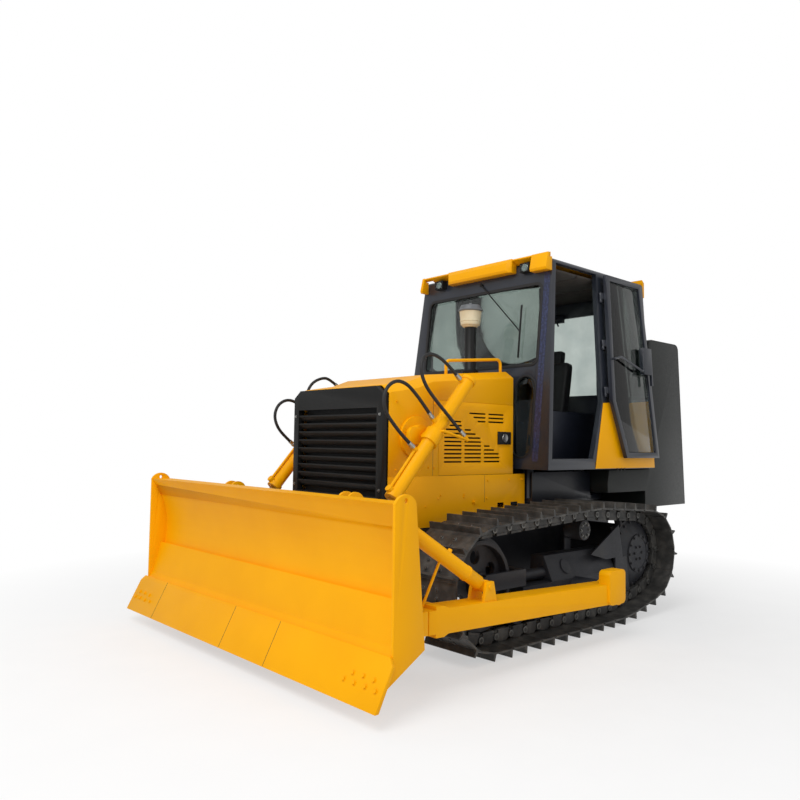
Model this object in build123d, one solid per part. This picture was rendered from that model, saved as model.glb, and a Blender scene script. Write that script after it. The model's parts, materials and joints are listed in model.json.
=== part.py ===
"""Medium crawler bulldozer with a straight blade, in millimetres.

X points forward to the blade, Y to the machine's left, Z up. The ground is z = 0 and the
origin is the middle of the machine's length and width at the ground. The blade is carried
about a hundred millimetres clear of the ground, the left cab door is folded back against
the cab and the right one is shut.
"""

import os
from math import acos, atan2, cos, degrees, hypot, pi, radians, sin, sqrt, tan

from build123d import *

os.makedirs("parts", exist_ok=True)

# Clearances: between pieces that touch or turn on each other, and between pieces that swing
RUNNING_GAP = 0.3
MOVING_GAP = 8

# Tracks
TRACK_GAUGE = 1880
SHOE_WIDTH = 500
SHOE_THICKNESS = 14
GROUSER_HEIGHT = 50
GROUSER_ROOT = 22
GROUSER_TIP = 11
SHOE_LIP = 9
TRACK_PITCH = 171
PIN_TO_RAIL = 50
PIN_TO_SHOE = 50
RAIL_WIDTH = 40
RAIL_GAP = 90
TRACK_RISE_X = -760

# Sprocket and final drive; *_OUT is measured outwards from the middle of the track
SPROCKET_X = -1175
SPROCKET_Z = 555
SPROCKET_PITCH_R = 344
SPROCKET_TEETH = 25
SPROCKET_ROOT_R = 318
SPROCKET_TIP_R = 372
SPROCKET_THICKNESS = 64
HUB_BORE_R = 185
HUB_RING_R = 175
HUB_RING = 16
HUB_OUT = 105
DISH_R = 300
DISH_OUT = 90
FINAL_CASE_R = 250
FINAL_CASE_IN = 95

# Idler
IDLER_X = 1005
IDLER_PIN_R = 390
IDLER_WEB = 40
IDLER_HOLE_R = 52
IDLER_HOLE_CIRCLE_R = 200
IDLER_HOLES = 6
IDLER_RIM = 34
IDLER_HUB_R = 95
IDLER_FLANGE = 35
IDLER_AXLE_R = 42

# Rollers
FIRST_ROLLER_BACK = 430
LAST_ROLLER_X = -640
ROLLER_R = 95
ROLLER_COUNT = 6
ROLLER_FLANGE = 16
ROLLER_FLANGE_GAP = 4
ROLLER_AXLE_R = 30
CARRIER_X = -325
CARRIER_R = 85
CARRIER_PIN_Z = 957
CARRIER_NARROWER = 10
CARRIER_BRACKET = 90

# Track frame
FRAME_IN = 125
FRAME_OUT = 110
FRAME_TOP_Z = 445
FRAME_BOTTOM_Z = 375
HOUSING_FRONT_X = 170
HOUSING_REAR_X = -760
HOUSING_TOP_Z = 640
HOUSING_TOP_OUT = 20
HOUSING_TOP_IN = 105
COVER_X = -62
COVER_R = 62
COVER_THICKNESS = 12
RECOIL_ROD_R = 45
YOKE_OUT = 96
YOKE_ARM = 36
YOKE_REAR_X = 540
YOKE_BLOCK = 80
YOKE_LOW_Z = 462
YOKE_HIGH_Z = 588
YOKE_BOSS_R = 72
ROLLER_GUARD = 14
ROLLER_GUARD_LOW_Z = 205
ROLLER_GUARD_OVERRUN = 130
GUIDE_PLATE = 14
PIVOT_SHAFT_X = -760
PIVOT_SHAFT_Z = 420
PIVOT_SHAFT_R = 90
TRUNNION_X = -160
TRUNNION_Z = 375
TRUNNION_R = 45
TRUNNION_BOSS = 35

# Hull
HULL_HALF_WIDTH = 345
HULL_BOTTOM_Z = 345
HULL_TOP_Z = 985
HULL_REAR_X = -1790
HULL_BOW = (260, 180)
HULL_STERN = (60, 90)
HULL_REAR_SLOPE = (420, 100)
BAR_X = 280
BAR_WIDTH = 180
BAR_HEIGHT = 110
HITCH_Z = 470
HITCH_JAW = 150
HITCH_PLATE = 35
HITCH_HALF_WIDTH = 85
HITCH_REACH = 230
HITCH_THROAT = 60
HITCH_BORE_R = 25
HITCH_BORE_BACK = 150

# Hood
HOOD_HALF_WIDTH = 578
HOOD_FRONT_X = 1535
HOOD_REAR_X = 95
HOOD_WALL = 5
HOOD_CHAMFER_IN = 84
HOOD_CHAMFER_DOWN = 60
HOOD_TOP_REAR_Z = 2180
# Columns: x of the bend, height of the flat top there
HOOD_BENDS = ((1080, 2082), (1245, 2022), (HOOD_FRONT_X, 1972))
PANEL_FRONT_X = 1012
PANEL_BOTTOM_Z = 1288
PANEL_TOP_Z = 1882
PANEL_SEAM = 2.5
PANEL_TAB = 24
SKIRT_BOTTOM_Z = 1000
SKIRT_REAR_X = -70
SKIRT_FOOT = 6
SKIRT_FOOT_LAP = 25
SKIRT_DROP = 105
SKIRT_NOTCH_TOP_Z = 1050
# Columns: rear end, front end of each notch in the skirt's lower edge
SKIRT_NOTCHES = ((27, 121), (213, 296))

# Vent slots of the hood's side panels; the two fields are parted by a plain slanting band
VENT_PITCH = 32.3
VENT_HEIGHT = 13
VENT_SHORTEST = 40
# Columns: rear end, front end
VENT_COLUMNS = ((272, 475), (508, 714), (744, 950))
VENT_FIRST_Z = 1396
VENT_ROWS = 12
VENT_APEX_X = 810
VENT_SHOULDER_Z = 1640
VENT_REAR_FOOT = (272, 1455)
UPPER_VENT_COLUMNS = ((222, 421), (454, 662))
UPPER_VENT_FIRST_Z = 1727
UPPER_VENT_ROWS = 3
UPPER_VENT_FOOT_X = 555
UPPER_VENT_SLOPE = 1.6

# Latches of the side panels
LATCH_REAR_X = 136
LATCH_LENGTH = 167
LATCH_Z = 1595
LATCH_HEIGHT = 108
LATCH_THICKNESS = 16

# Grab rail along the hood's left edge, and air intake
RAIL_Y = 450
RAIL_REAR_X = 118
RAIL_FRONT_X = 806
RAIL_RISE = 112
RAIL_R = 13
RAIL_BEND_R = 45
STACK_X = 180
STACK_Y = 147
PIPE_R = 52
PIPE_COLLAR_R = 77
PIPE_COLLAR = 14
BOWL_R = 102
BOWL_Z = 2606
BOWL_HEIGHT = 128
BOWL_FOOT_R = 88
BOWL_NECK_R = 74
BOWL_NECK = 14
CAP_R = 114
CAP_TOP_R = 84
CAP_BRIM = 12
CAP_HEIGHT = 46
CAP_STUD_R = 14
CAP_STUD = 20

# Radiator guard, radiator and engine
GUARD_DEPTH = 55
GUARD_SIDE_STEP = 10
GUARD_BOTTOM_Z = 940
GUARD_FRAME = 76
GUARD_HEADER = 162
GUARD_STEP_DOWN = 10
GRILLE_BOTTOM_Z = 1140
SLAT_COUNT = 9
SLAT_LIP = 10
SLAT_FACE = 46
SLAT_SLOPE = 24
CORE_SIDE_GAP = 86
CORE_THICKNESS = 140
CORE_BACK = 20
CORE_TOP_GAP = 115
ENGINE_SIDE_GAP = 286
ENGINE_REAR_X = 150
ENGINE_LENGTH = 1110
ENGINE_TOP_Z = 1780

# Cab shell
CAB_FLOOR_Z = 1330
CAB_HEIGHT = 1870
CAB_HALF_BOTTOM = 900
CAB_HALF_TOP = 796
CAB_FRONT_BOTTOM_X = 25
CAB_FRONT_TOP_X = -172
CAB_REAR_BOTTOM_X = -1735
CAB_REAR_TOP_X = -1699
CAB_WALL = 50
CAB_TOP_R = 40
CAB_FLOOR = 40
SILL_HEIGHT = 90
LINTEL_DROP = 42
HINGE_X = -880
PILLAR_WIDTH = 85
WAIST_HEIGHT = 620
DOOR_HEEL_X = -650
GLASS = 6
GLASS_GAP = 0.3

# Cab windows; heights are drops from the cab's top unless they are named as a rise
WINDSCREEN_HALF = 700
WINDSCREEN_DROP = 222
WINDSCREEN_HEIGHT = 728
WINDSCREEN_CORNER_R = 60
LOWER_WINDOW_RISE = 100
LOWER_WINDOW_HEIGHT = 720
LOWER_WINDOW_INNER_Y = 480
LOWER_WINDOW_WIDTH = 220
REAR_WINDOW_HALF = 600
REAR_WINDOW_DROP = 260
REAR_WINDOW_HEIGHT = 860
QUARTER_DROP = 120
QUARTER_RISE = 60
QUARTER_REAR = (80, 60)

# Doors
DOOR_THICKNESS = 38
DOOR_FRAME = 52
DOOR_STANDS_OUT = 2
HINGE_OUT = 18
HINGE_STRAP = 60
HINGE_SETBACK = 27
# Shares of the cab's height
HINGE_SHARES = (0.39, 0.626, 0.866)
HINGE_PIN_R = 6
KNUCKLE_R = 12
KNUCKLE_LENGTH = 60
DOOR_SWING = 180
LATCH_CASE = (-322, -168, 2238, 2500)
LATCH_CASE_DEPTH = 46
LEVER_LENGTH = 105
LEVER = 22
GRAB_BAR_R = 11
GRAB_BAR_OUT = 41
GRAB_BAR = ((-819, 2352), (-707, 2375), (-250, 2246))

# Roof, lamps, wiper and side panels
ROOF_THICKNESS = 42
ROOF_HALF = 660
ROOF_REAR_EAVE = 38
ROOF_REAR_DROP = 140
ROOF_FRONT_X = -98
ROOF_FRONT_LIP = 20
ROOF_FASCIA_DROP = 14
ROOF_REAR_BEVEL = 30
BROW_FRONT_X = -55
BROW_HALF = 400
BROW_DROP = 88
BROW_BEVEL = (30, 44)
BROW_SIDE_BEVEL = 38
BROW_CORNER_DROP = 120
# Columns: inner and outer y of the two pieces beside the lamps, left and right
BROW_CORNERS = ((622, 800), (-774, -745))
LAMP_Y = 540
LAMP_WIDTH = 104
LAMP_HEIGHT = 84
LAMP_DROP = 106
LAMP_DEPTH = 62
WIPER_HUB = (-10, 3060)
WIPER_TIP = (500, 2560)
WIPER_ARM_R = 6
WIPER_BLADE_R = 9
WIPER_BLADE_LENGTH = 480
WIPER_OUT = 14
SIDE_PANEL = 6
SIDE_PANEL_RISE = 5

# Seat, consoles and levers
SEAT_HALF = 250
SEAT_FRONT_X = -680
SEAT_REAR_X = -1180
SEAT_BOX_HEIGHT = 330
SEAT_CUSHION = 120
SEAT_BACK_HEIGHT = 560
SEAT_BACK_THICKNESS = 110
SEAT_BACK_LEAN = 100
HEADREST_HALF = 130
HEADREST_HEIGHT = 150
CONSOLE_INNER_Y = 268
CONSOLE_WIDTH = 255
CONSOLE_FRONT_X = -430
CONSOLE_REAR_X = -1250
CONSOLE_HEIGHT = 490
DASH_HALF = 430
DASH_REAR_X = -330
DASH_THICKNESS = 140
DASH_HEIGHT = 560
LEVER_R = 9
LEVER_KNOB_R = 24
# Columns: x, share of the console's width from its inner face, height above the console
LEVERS = ((-535, 0.3, 190), (-535, 0.7, 150), (-700, 0.5, 120))

# Deck under the cab and its rubber mounts
DECK_Z = 1045
DECK_THICKNESS = 28
DECK_REAR_X = -1010
DECK_FRONT_X = -95
DECK_HALF = 640
DECK_APRON = 12
APRON_REAR_X = -995
DECK_SPINE_REAR_X = -1690
DECK_SPINE_IN = 20
CAB_MOUNT_R = 45
CAB_MOUNT_Y = 560
CAB_MOUNT_XS = (-930, -150)

# Fuel tank and rear cover
TANK_HALF_WIDTH = 820
TANK_WALL = 8
TANK_REAR_BOTTOM_X = -2535
TANK_REAR_TOP_X = -2400
TANK_FRONT_X = -1775
TANK_TOP_Z = 2640
TANK_BOTTOM_Z = 935
TANK_TOP_R = 70
TANK_STEP_X = -1700
TANK_NOSE_X = -1015
TANK_NOSE_CHAMFER = (25, 115)
TANK_CAB_GAP = 15
TANK_LOW_TOP_Z = 2050
TANK_REACH = 3000
TANK_STEP_Y = 190
TANK_TRACK_GAP = 30
FILLER_R = 55
FILLER_X = -2150
FILLER_Y = 480
FILLER_HEIGHT = 45

# Blade
BLADE_PAST_ARM = 140
BLADE_FACE_X = 2375
BLADE_TOP_Z = 1200
BLADE_FOOT_Z = 360
MOLDBOARD_R = 675
MOLDBOARD_THICKNESS = 12
END_PLATE = 22
END_DEPTH_TOP = 164
END_DEPTH_BOTTOM = 245
END_EAR = 50
END_HOLE_R = 14
END_HEEL_Z = 362
END_FOOT_SHARE = 0.75
CUTTING_EDGE_TIP_X = 2535
CUTTING_EDGE_TIP_Z = 100
CUTTING_EDGE_BEVEL = 28
CUTTING_EDGE_THICKNESS = 24
CUTTING_EDGE_OVERHANG = 40
CUTTING_EDGE_CORNER = 45
UPPER_BEAM_Z = 1090
LOWER_BEAM_Z = 600
LOWER_BEAM_FOOT_Z = 400
RIB = 20
OUTER_RIB_IN = 340

# Push arms and braces
ARM_CLEAR = 90
ARM_WIDTH = 170
ARM_HEIGHT = 154
ARM_SLOPE = radians(2.24)
ARM_END = 14
ARM_HEAD = (1790, 1900, 188)
ARM_JAW_HEIGHT = 142
ARM_GROOVE = 10
ARM_GROOVES = (1960, 2040)
ARM_CAP = (-219, 7, 300, 565)
ARM_CAP_WIDTH = 98
ARM_CAP_THICKNESS = 22
ARM_CAP_CORNER_R = 40
ARM_CLOSED_WALL = 30
ARM_BLADE_GAP = 10
BRACE_FOOT_X = 1385
BRACE_FOOT_Z = 605
BRACE_HEAD_BACK = 60
BRACE_HEAD_Z = 1068
BRACE_PIN_R = 18
BRACE_EYE_R = 40
BRACE_ROD_R = 46
BRACE_ROD_FROM = 52
BRACE_EYE_NECK_R = 34
BRACE_TUBE_R = 49
BRACE_COLLAR_R = 52
BRACE_COLLAR_AT = 190
BRACE_COLLAR = 8
BRACE_KNOB_AT = 400
BRACE_KNOB_R = 14
BRACE_KNOB = 66
BRACE_LUG = 24
BRACE_LUG_HALF = 64
BRACE_LUG_TOP_HALF = 34
BRACE_LUG_FOOT = 95
BRACE_BRACKET = (110, 40)
RETAINER_R = 9

# Lift cylinders
LIFT_OUT = 182
LIFT_PIVOT_X = 1270
LIFT_PIVOT_Z = 1585
ROD_EYE_X = 2060
ROD_EYE_Z = 690
BARREL_R = 52
BARREL_BORE_R = 40
BARREL_UP = 610
BARREL_DOWN = 585
BARREL_CAP = 30
BARREL_GLAND = 40
BARREL_COLLAR = 16
BARREL_COLLAR_HALF = 55
GLAND_RIM = 8
ROD_R = 27
ROD_START = 400
ROD_EYE_R = 48
ROD_EYE_WIDTH = 60
TRUNNION_PIN_R = 40
TRUNNION_PIN_IN = 50
MOUNT_FLANGE_R = 160
MOUNT_FLANGE = 25
MOUNT_HUB_R = 95
MOUNT_CAP = (1198, 1428, 1530, 1662)
MOUNT_CAP_R = 55
MOUNT_CLEAR = 24
LUG_PLATE = 22
LUG_DOME = (2030, 1135, 75)
LUG_PIN_HEAD_R = 40
LUG_PIN_HEAD = 14

# Hoses and pipes of the lift cylinders. Along is measured down the barrel from its
# trunnion, off is measured square to the barrel, to its upper front.
PIPE_BORE_R = 11
SIDE_PIPE_OFF = 66
SIDE_PIPE_FROM = 180
SIDE_PIPE_TO = 548
SIDE_BOSS_R = 26
STUB_R = 16
HOSE_D = 26
HOSE_BEND_SHARE = 0.45
# Columns: along, off, distance outside the barrel's middle plane
LOWER_HOSE = (
    (180, 100, 0), (190, 215, 0), (188, 330, 0), (180, 446, 0), (128, 535, 0), (32, 570, 0),
    (-64, 535, 0), (-116, 446, 0), (-124, 330, 0), (-120, 215, 0), (-111, 100, 0),
)
UPPER_HOSE = (
    (-186, -176, 82), (-186, -50, 79), (-184, 80, 75), (-182, 210, 70), (-190, 340, 64), (-240, 446, 54),
    (-338, 492, 38), (-436, 448, 22), (-498, 345, 10), (-525, 215, 4), (-538, 86, 0),
)
# The right-hand hoses leave the same fittings in lower loops
RIGHT_LOWER_HOSE = (
    (180, 100, 0), (190, 215, 0), (182, 326, 0), (130, 415, 0), (34, 450, 0),
    (-62, 415, 0), (-114, 326, 0), (-120, 215, 0), (-111, 100, 0),
)
RIGHT_UPPER_HOSE = (
    (-186, -176, 82), (-186, -50, 79), (-186, 85, 71), (-212, 200, 60), (-280, 285, 46),
    (-375, 310, 32), (-470, 275, 16), (-525, 215, 4), (-538, 86, 0),
)
SUPPLY_AT = (-62, 0)
SUPPLY_ELBOW_BACK = 54

SIDES = (("left", 1), ("right", -1))
# Columns: lower hose's points, upper hose's points
HOSE_ROUTES = {"left": (LOWER_HOSE, UPPER_HOSE), "right": (RIGHT_LOWER_HOSE, RIGHT_UPPER_HOSE)}

# What follows from the driving sizes
TRACK_Y = TRACK_GAUGE / 2
FRAME_INNER_Y = TRACK_Y - FRAME_IN
FRAME_OUTER_Y = TRACK_Y + FRAME_OUT
RAIL_OUT = RAIL_GAP / 2 + RAIL_WIDTH
ARM_INNER_Y = TRACK_Y + SHOE_WIDTH / 2 + ARM_CLEAR
ARM_OUTER_Y = ARM_INNER_Y + ARM_WIDTH
ARM_Y = ARM_INNER_Y + ARM_WIDTH / 2
BLADE_HALF_WIDTH = ARM_OUTER_Y + BLADE_PAST_ARM
BLADE_BACK_X = BLADE_FACE_X - END_DEPTH_TOP
LIFT_Y = HOOD_HALF_WIDTH + LIFT_OUT
HULL_FRONT_X = HOOD_FRONT_X
CAB_TOP_Z = CAB_FLOOR_Z + CAB_HEIGHT
SILL_TOP_Z = CAB_FLOOR_Z + SILL_HEIGHT
LINTEL_Z = CAB_TOP_Z - LINTEL_DROP
DOOR_WAIST_Z = CAB_FLOOR_Z + WAIST_HEIGHT
PILLAR_REAR_X = HINGE_X - PILLAR_WIDTH
HINGE_HEIGHTS = [CAB_FLOOR_Z + share * CAB_HEIGHT for share in HINGE_SHARES]
FLOOR_TOP_Z = CAB_FLOOR_Z + CAB_FLOOR + RUNNING_GAP
EDGE_BACK_TIP_X = CUTTING_EDGE_TIP_X - CUTTING_EDGE_BEVEL
EDGE_LEAN = degrees(atan2(EDGE_BACK_TIP_X - BLADE_FACE_X, BLADE_FOOT_Z - CUTTING_EDGE_TIP_Z))


def write(name, *solids):
    """Write one node; several solids of a node never touch each other."""
    shape = solids[0] if len(solids) == 1 else Compound(children=list(solids))
    shape.label = name
    export_step(shape, f"parts/{name}.step")


def side_face(points):
    """Closed outline in the plane y = 0 from (x, z) points."""
    return make_face(Plane.XZ * Polyline(*points, close=True))


def slab(points, y_low, y_high):
    """Plate whose outline is in (x, z) and which runs from y_low to y_high."""
    plate = extrude(side_face(points), amount=y_high - y_low, dir=(0, 1, 0))
    return Pos(0, y_low, 0) * plate


def block(x_low, x_high, y_low, y_high, z_low, z_high):
    centre = ((x_low + x_high) / 2, (y_low + y_high) / 2, (z_low + z_high) / 2)
    return Pos(*centre) * Box(x_high - x_low, y_high - y_low, z_high - z_low)


def across(radius, x, z, y_low, y_high):
    """Round bar along Y."""
    bar = Plane.XZ * Circle(radius)
    return Pos(x, y_low, z) * extrude(bar, amount=y_high - y_low, dir=(0, 1, 0))


def cone_across(radius_low, radius_high, x, z, y_low, y_high):
    """Cone along Y."""
    cone = Cone(radius_low, radius_high, y_high - y_low)
    return Pos(x, (y_low + y_high) / 2, z) * Rot(-90, 0, 0) * cone


def upright(radius, x, y, z_low, z_high):
    """Round bar along Z."""
    return Pos(x, y, z_low) * extrude(Circle(radius), amount=z_high - z_low)


def rod_between(start, end, radius):
    """Round bar from one point to another."""
    line = Vector(*end) - Vector(*start)
    plane = Plane(origin=start, z_dir=line.normalized())
    return extrude(plane * Circle(radius), amount=line.length)


def mirrored(shape, side):
    """The left piece as it is, or its mirror image for the right."""
    return shape if side > 0 else mirror(shape, about=Plane.XZ)


def both_sides(shape):
    return [shape, mirror(shape, about=Plane.XZ)]


# Track path, in the plane of the pins
GROUND_PIN_Z = GROUSER_HEIGHT + SHOE_THICKNESS + PIN_TO_SHOE
IDLER_Z = GROUND_PIN_Z + IDLER_PIN_R
ROLLER_Z = GROUND_PIN_Z + PIN_TO_RAIL + ROLLER_R + RUNNING_GAP


def touch_angle(centre, radius, point, side):
    """Angle at which a line from a point outside touches a circle, on the chosen side."""
    dx, dz = point[0] - centre[0], point[1] - centre[1]
    return atan2(dz, dx) + side * acos(radius / hypot(dx, dz))


def on_circle(centre, radius, angle):
    return centre[0] + radius * cos(angle), centre[1] + radius * sin(angle)


def track_path():
    """Stretches of the pin path, counter-clockwise seen from the right side.

    An arc is (kind, centre, radius, first angle, last angle), a line (kind, start, end).
    """
    idler, sprocket = (IDLER_X, IDLER_Z), (SPROCKET_X, SPROCKET_Z)
    rise = (TRACK_RISE_X, GROUND_PIN_Z)
    crest = (CARRIER_X, CARRIER_PIN_Z)
    front = touch_angle(idler, IDLER_PIN_R, crest, -1)
    rear = touch_angle(sprocket, SPROCKET_PITCH_R, crest, 1)
    low = touch_angle(sprocket, SPROCKET_PITCH_R, rise, -1) % (2 * pi)
    return [
        ("arc", idler, IDLER_PIN_R, -pi / 2, front),
        ("line", on_circle(idler, IDLER_PIN_R, front), crest),
        ("line", crest, on_circle(sprocket, SPROCKET_PITCH_R, rear)),
        ("arc", sprocket, SPROCKET_PITCH_R, rear, low),
        ("line", on_circle(sprocket, SPROCKET_PITCH_R, low), rise),
        ("line", rise, (IDLER_X, GROUND_PIN_Z)),
    ]


def stretch_length(stretch):
    if stretch[0] == "arc":
        return stretch[2] * (stretch[4] - stretch[3])
    return hypot(stretch[2][0] - stretch[1][0], stretch[2][1] - stretch[1][1])


def track_pins():
    """Pin centres at an even pitch round the whole loop."""
    stretches = track_path()
    lengths = [stretch_length(stretch) for stretch in stretches]
    count = round(sum(lengths) / TRACK_PITCH)
    pitch = sum(lengths) / count
    pins = []
    for index in range(count):
        along = index * pitch
        for stretch, length in zip(stretches, lengths):
            if along <= length:
                break
            along -= length
        if stretch[0] == "arc":
            pins.append(on_circle(stretch[1], stretch[2], stretch[3] + along / stretch[2]))
        else:
            share = along / length
            (x0, z0), (x1, z1) = stretch[1], stretch[2]
            pins.append((x0 + share * (x1 - x0), z0 + share * (z1 - z0)))
    return pins


def offset_loop(pins, distance):
    """The pin polygon moved outwards, mitred at every pin."""
    points = []
    count = len(pins)
    for index in range(count):
        before, here, after = pins[index - 1], pins[index], pins[(index + 1) % count]
        angle_in = atan2(here[1] - before[1], here[0] - before[0])
        angle_out = atan2(after[1] - here[1], after[0] - here[0])
        turn = (angle_out - angle_in + pi) % (2 * pi) - pi
        bisector = angle_in + turn / 2 - pi / 2
        reach = distance / cos(turn / 2)
        points.append((here[0] + reach * cos(bisector), here[1] + reach * sin(bisector)))
    return points


def shoe_outline(pins):
    """Outer outline of the shoes, each with one grouser at its leading edge."""
    points = []
    count = len(pins)
    plate = PIN_TO_SHOE + SHOE_THICKNESS
    for index in range(count):
        start, end = pins[index], pins[(index + 1) % count]
        length = hypot(end[0] - start[0], end[1] - start[1])
        along = ((end[0] - start[0]) / length, (end[1] - start[1]) / length)
        out = (along[1], -along[0])
        # Columns: distance along the shoe from its back edge, height above the plate
        profile = (
            (SHOE_LIP / 2, -SHOE_THICKNESS / 2),
            (SHOE_LIP, 0),
            (length - SHOE_LIP - GROUSER_ROOT, 0),
            (length - SHOE_LIP - GROUSER_TIP, GROUSER_HEIGHT),
            (length - SHOE_LIP, GROUSER_HEIGHT),
            (length - SHOE_LIP, 0),
            (length - SHOE_LIP / 2, -SHOE_THICKNESS / 2),
        )
        for place, height in profile:
            rise = plate + height
            x = start[0] + along[0] * place + out[0] * rise
            z = start[1] + along[1] * place + out[1] * rise
            points.append((x, z))
    return points


PINS = track_pins()
LINK_HALF = hypot(PINS[1][0] - PINS[0][0], PINS[1][1] - PINS[0][1]) / 2
IDLER_R = sqrt(IDLER_PIN_R**2 - LINK_HALF**2) - PIN_TO_RAIL - RUNNING_GAP


def carrier_height():
    """Height of the carrier roller's axle, just clear of every rail that crosses above it."""
    reach = PIN_TO_RAIL + CARRIER_R + RUNNING_GAP
    heights = []
    for (x0, z0), (x1, z1) in zip(PINS, PINS[1:]):
        if min(z0, z1) > IDLER_Z + IDLER_PIN_R / 2 and min(abs(x0 - CARRIER_X), abs(x1 - CARRIER_X)) < TRACK_PITCH:
            slope = (z1 - z0) / (x1 - x0)
            heights.append(z0 + slope * (CARRIER_X - x0) - reach * sqrt(1 + slope**2))
    return min(heights)


CARRIER_Z = carrier_height()


def track(side):
    """Shoes and both chains' rails as one closed loop."""
    plates = slab(shoe_outline(PINS), TRACK_Y - SHOE_WIDTH / 2, TRACK_Y + SHOE_WIDTH / 2)
    plates -= slab(offset_loop(PINS, PIN_TO_SHOE), TRACK_Y - SHOE_WIDTH, TRACK_Y + SHOE_WIDTH)
    for low in (TRACK_Y + RAIL_GAP / 2, TRACK_Y - RAIL_OUT):
        rail = slab(offset_loop(PINS, PIN_TO_SHOE + 2), low, low + RAIL_WIDTH)
        rail -= slab(offset_loop(PINS, -PIN_TO_RAIL), low - 1, low + RAIL_WIDTH + 1)
        plates += rail
    return mirrored(plates, side)


def ring_of(radius, count, phase=0.0):
    angles = [phase + 2 * pi * k / count for k in range(count)]
    return [(radius * cos(angle), radius * sin(angle)) for angle in angles]


def sprocket(side):
    """Toothed wheel whose teeth stand between the two chains."""
    # Columns: share of a tooth's pitch, radius
    tooth = (
        (-0.5, SPROCKET_ROOT_R),
        (-0.22, SPROCKET_ROOT_R),
        (-0.1, SPROCKET_TIP_R),
        (0.1, SPROCKET_TIP_R),
        (0.22, SPROCKET_ROOT_R),
    )
    points = []
    for index in range(SPROCKET_TEETH):
        for share, radius in tooth:
            angle = 2 * pi * (index + share) / SPROCKET_TEETH
            points.append(on_circle((SPROCKET_X, SPROCKET_Z), radius, angle))
    low, high = TRACK_Y - SPROCKET_THICKNESS / 2, TRACK_Y + SPROCKET_THICKNESS / 2
    wheel = slab(points, low, high)
    wheel -= across(HUB_BORE_R + RUNNING_GAP, SPROCKET_X, SPROCKET_Z, low - 1, high + 1)
    return mirrored(wheel, side)


def final_drive(side):
    """Case bolted to the hull, the hub that carries the sprocket, and its dished cover."""
    x, z = SPROCKET_X, SPROCKET_Z
    case_face = TRACK_Y - FINAL_CASE_IN
    dish_back = TRACK_Y + SPROCKET_THICKNESS / 2 + RUNNING_GAP
    dish_face = TRACK_Y + DISH_OUT
    hub_face = TRACK_Y + HUB_OUT
    drive = across(FINAL_CASE_R, x, z, HULL_HALF_WIDTH, case_face)
    drive += across(HUB_BORE_R, x, z, case_face - 5, dish_back + 5)
    drive += cone_across(DISH_R, HUB_BORE_R, x, z, dish_back, dish_face)
    drive += across(HUB_RING_R, x, z, dish_face - 5, hub_face)
    drive -= across(HUB_RING_R - 2 * HUB_RING, x, z, hub_face - HUB_RING / 2, hub_face + 1)
    return mirrored(drive, side)


def idler(side):
    """Spoked front wheel with a centre flange that runs between the chains."""
    wheel = across(IDLER_R, IDLER_X, IDLER_Z, TRACK_Y - RAIL_OUT, TRACK_Y + RAIL_OUT)
    for face in (-1, 1):
        low, high = sorted((face * IDLER_WEB / 2, face * (RAIL_OUT + 1)))
        wheel -= across(IDLER_R - IDLER_RIM, IDLER_X, IDLER_Z, TRACK_Y + low, TRACK_Y + high)
    flange = across(IDLER_R + IDLER_FLANGE, IDLER_X, IDLER_Z, TRACK_Y - IDLER_WEB, TRACK_Y + IDLER_WEB)
    flange -= across(IDLER_R - 1, IDLER_X, IDLER_Z, TRACK_Y - IDLER_WEB - 1, TRACK_Y + IDLER_WEB + 1)
    wheel += flange
    wheel += across(IDLER_HUB_R, IDLER_X, IDLER_Z, TRACK_Y - RAIL_OUT, TRACK_Y + RAIL_OUT)
    bore = IDLER_AXLE_R + RUNNING_GAP
    wheel -= across(bore, IDLER_X, IDLER_Z, TRACK_Y - RAIL_OUT - 1, TRACK_Y + RAIL_OUT + 1)
    for dx, dz in ring_of(IDLER_HOLE_CIRCLE_R, IDLER_HOLES, pi / IDLER_HOLES):
        wheel -= across(IDLER_HOLE_R, IDLER_X + dx, IDLER_Z + dz, TRACK_Y - RAIL_OUT, TRACK_Y + RAIL_OUT)
    return mirrored(wheel, side)


def roller_places():
    first = IDLER_X - FIRST_ROLLER_BACK
    step = (first - LAST_ROLLER_X) / (ROLLER_COUNT - 1)
    return [first - step * k for k in range(ROLLER_COUNT)]


def recoil_housing():
    """Housing of the track's tension spring, bevelled outside, with its round cover."""
    foot = FRAME_TOP_Z - 5
    section = Plane.YZ * Polyline(
        (FRAME_INNER_Y, foot),
        (FRAME_OUTER_Y, foot),
        (TRACK_Y + HOUSING_TOP_OUT, HOUSING_TOP_Z),
        (TRACK_Y - HOUSING_TOP_IN, HOUSING_TOP_Z),
        close=True,
    )
    length = HOUSING_FRONT_X - HOUSING_REAR_X
    housing = Pos(HOUSING_REAR_X, 0, 0) * extrude(make_face(section), amount=length, dir=(1, 0, 0))
    run, rise = FRAME_OUT - HOUSING_TOP_OUT, HOUSING_TOP_Z - foot
    out = Vector(0, rise, run).normalized()
    middle = Vector(COVER_X, TRACK_Y + (FRAME_OUT + HOUSING_TOP_OUT) / 2, (foot + HOUSING_TOP_Z) / 2)
    return housing + rod_between(middle - out * 5, middle + out * COVER_THICKNESS, COVER_R)


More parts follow.
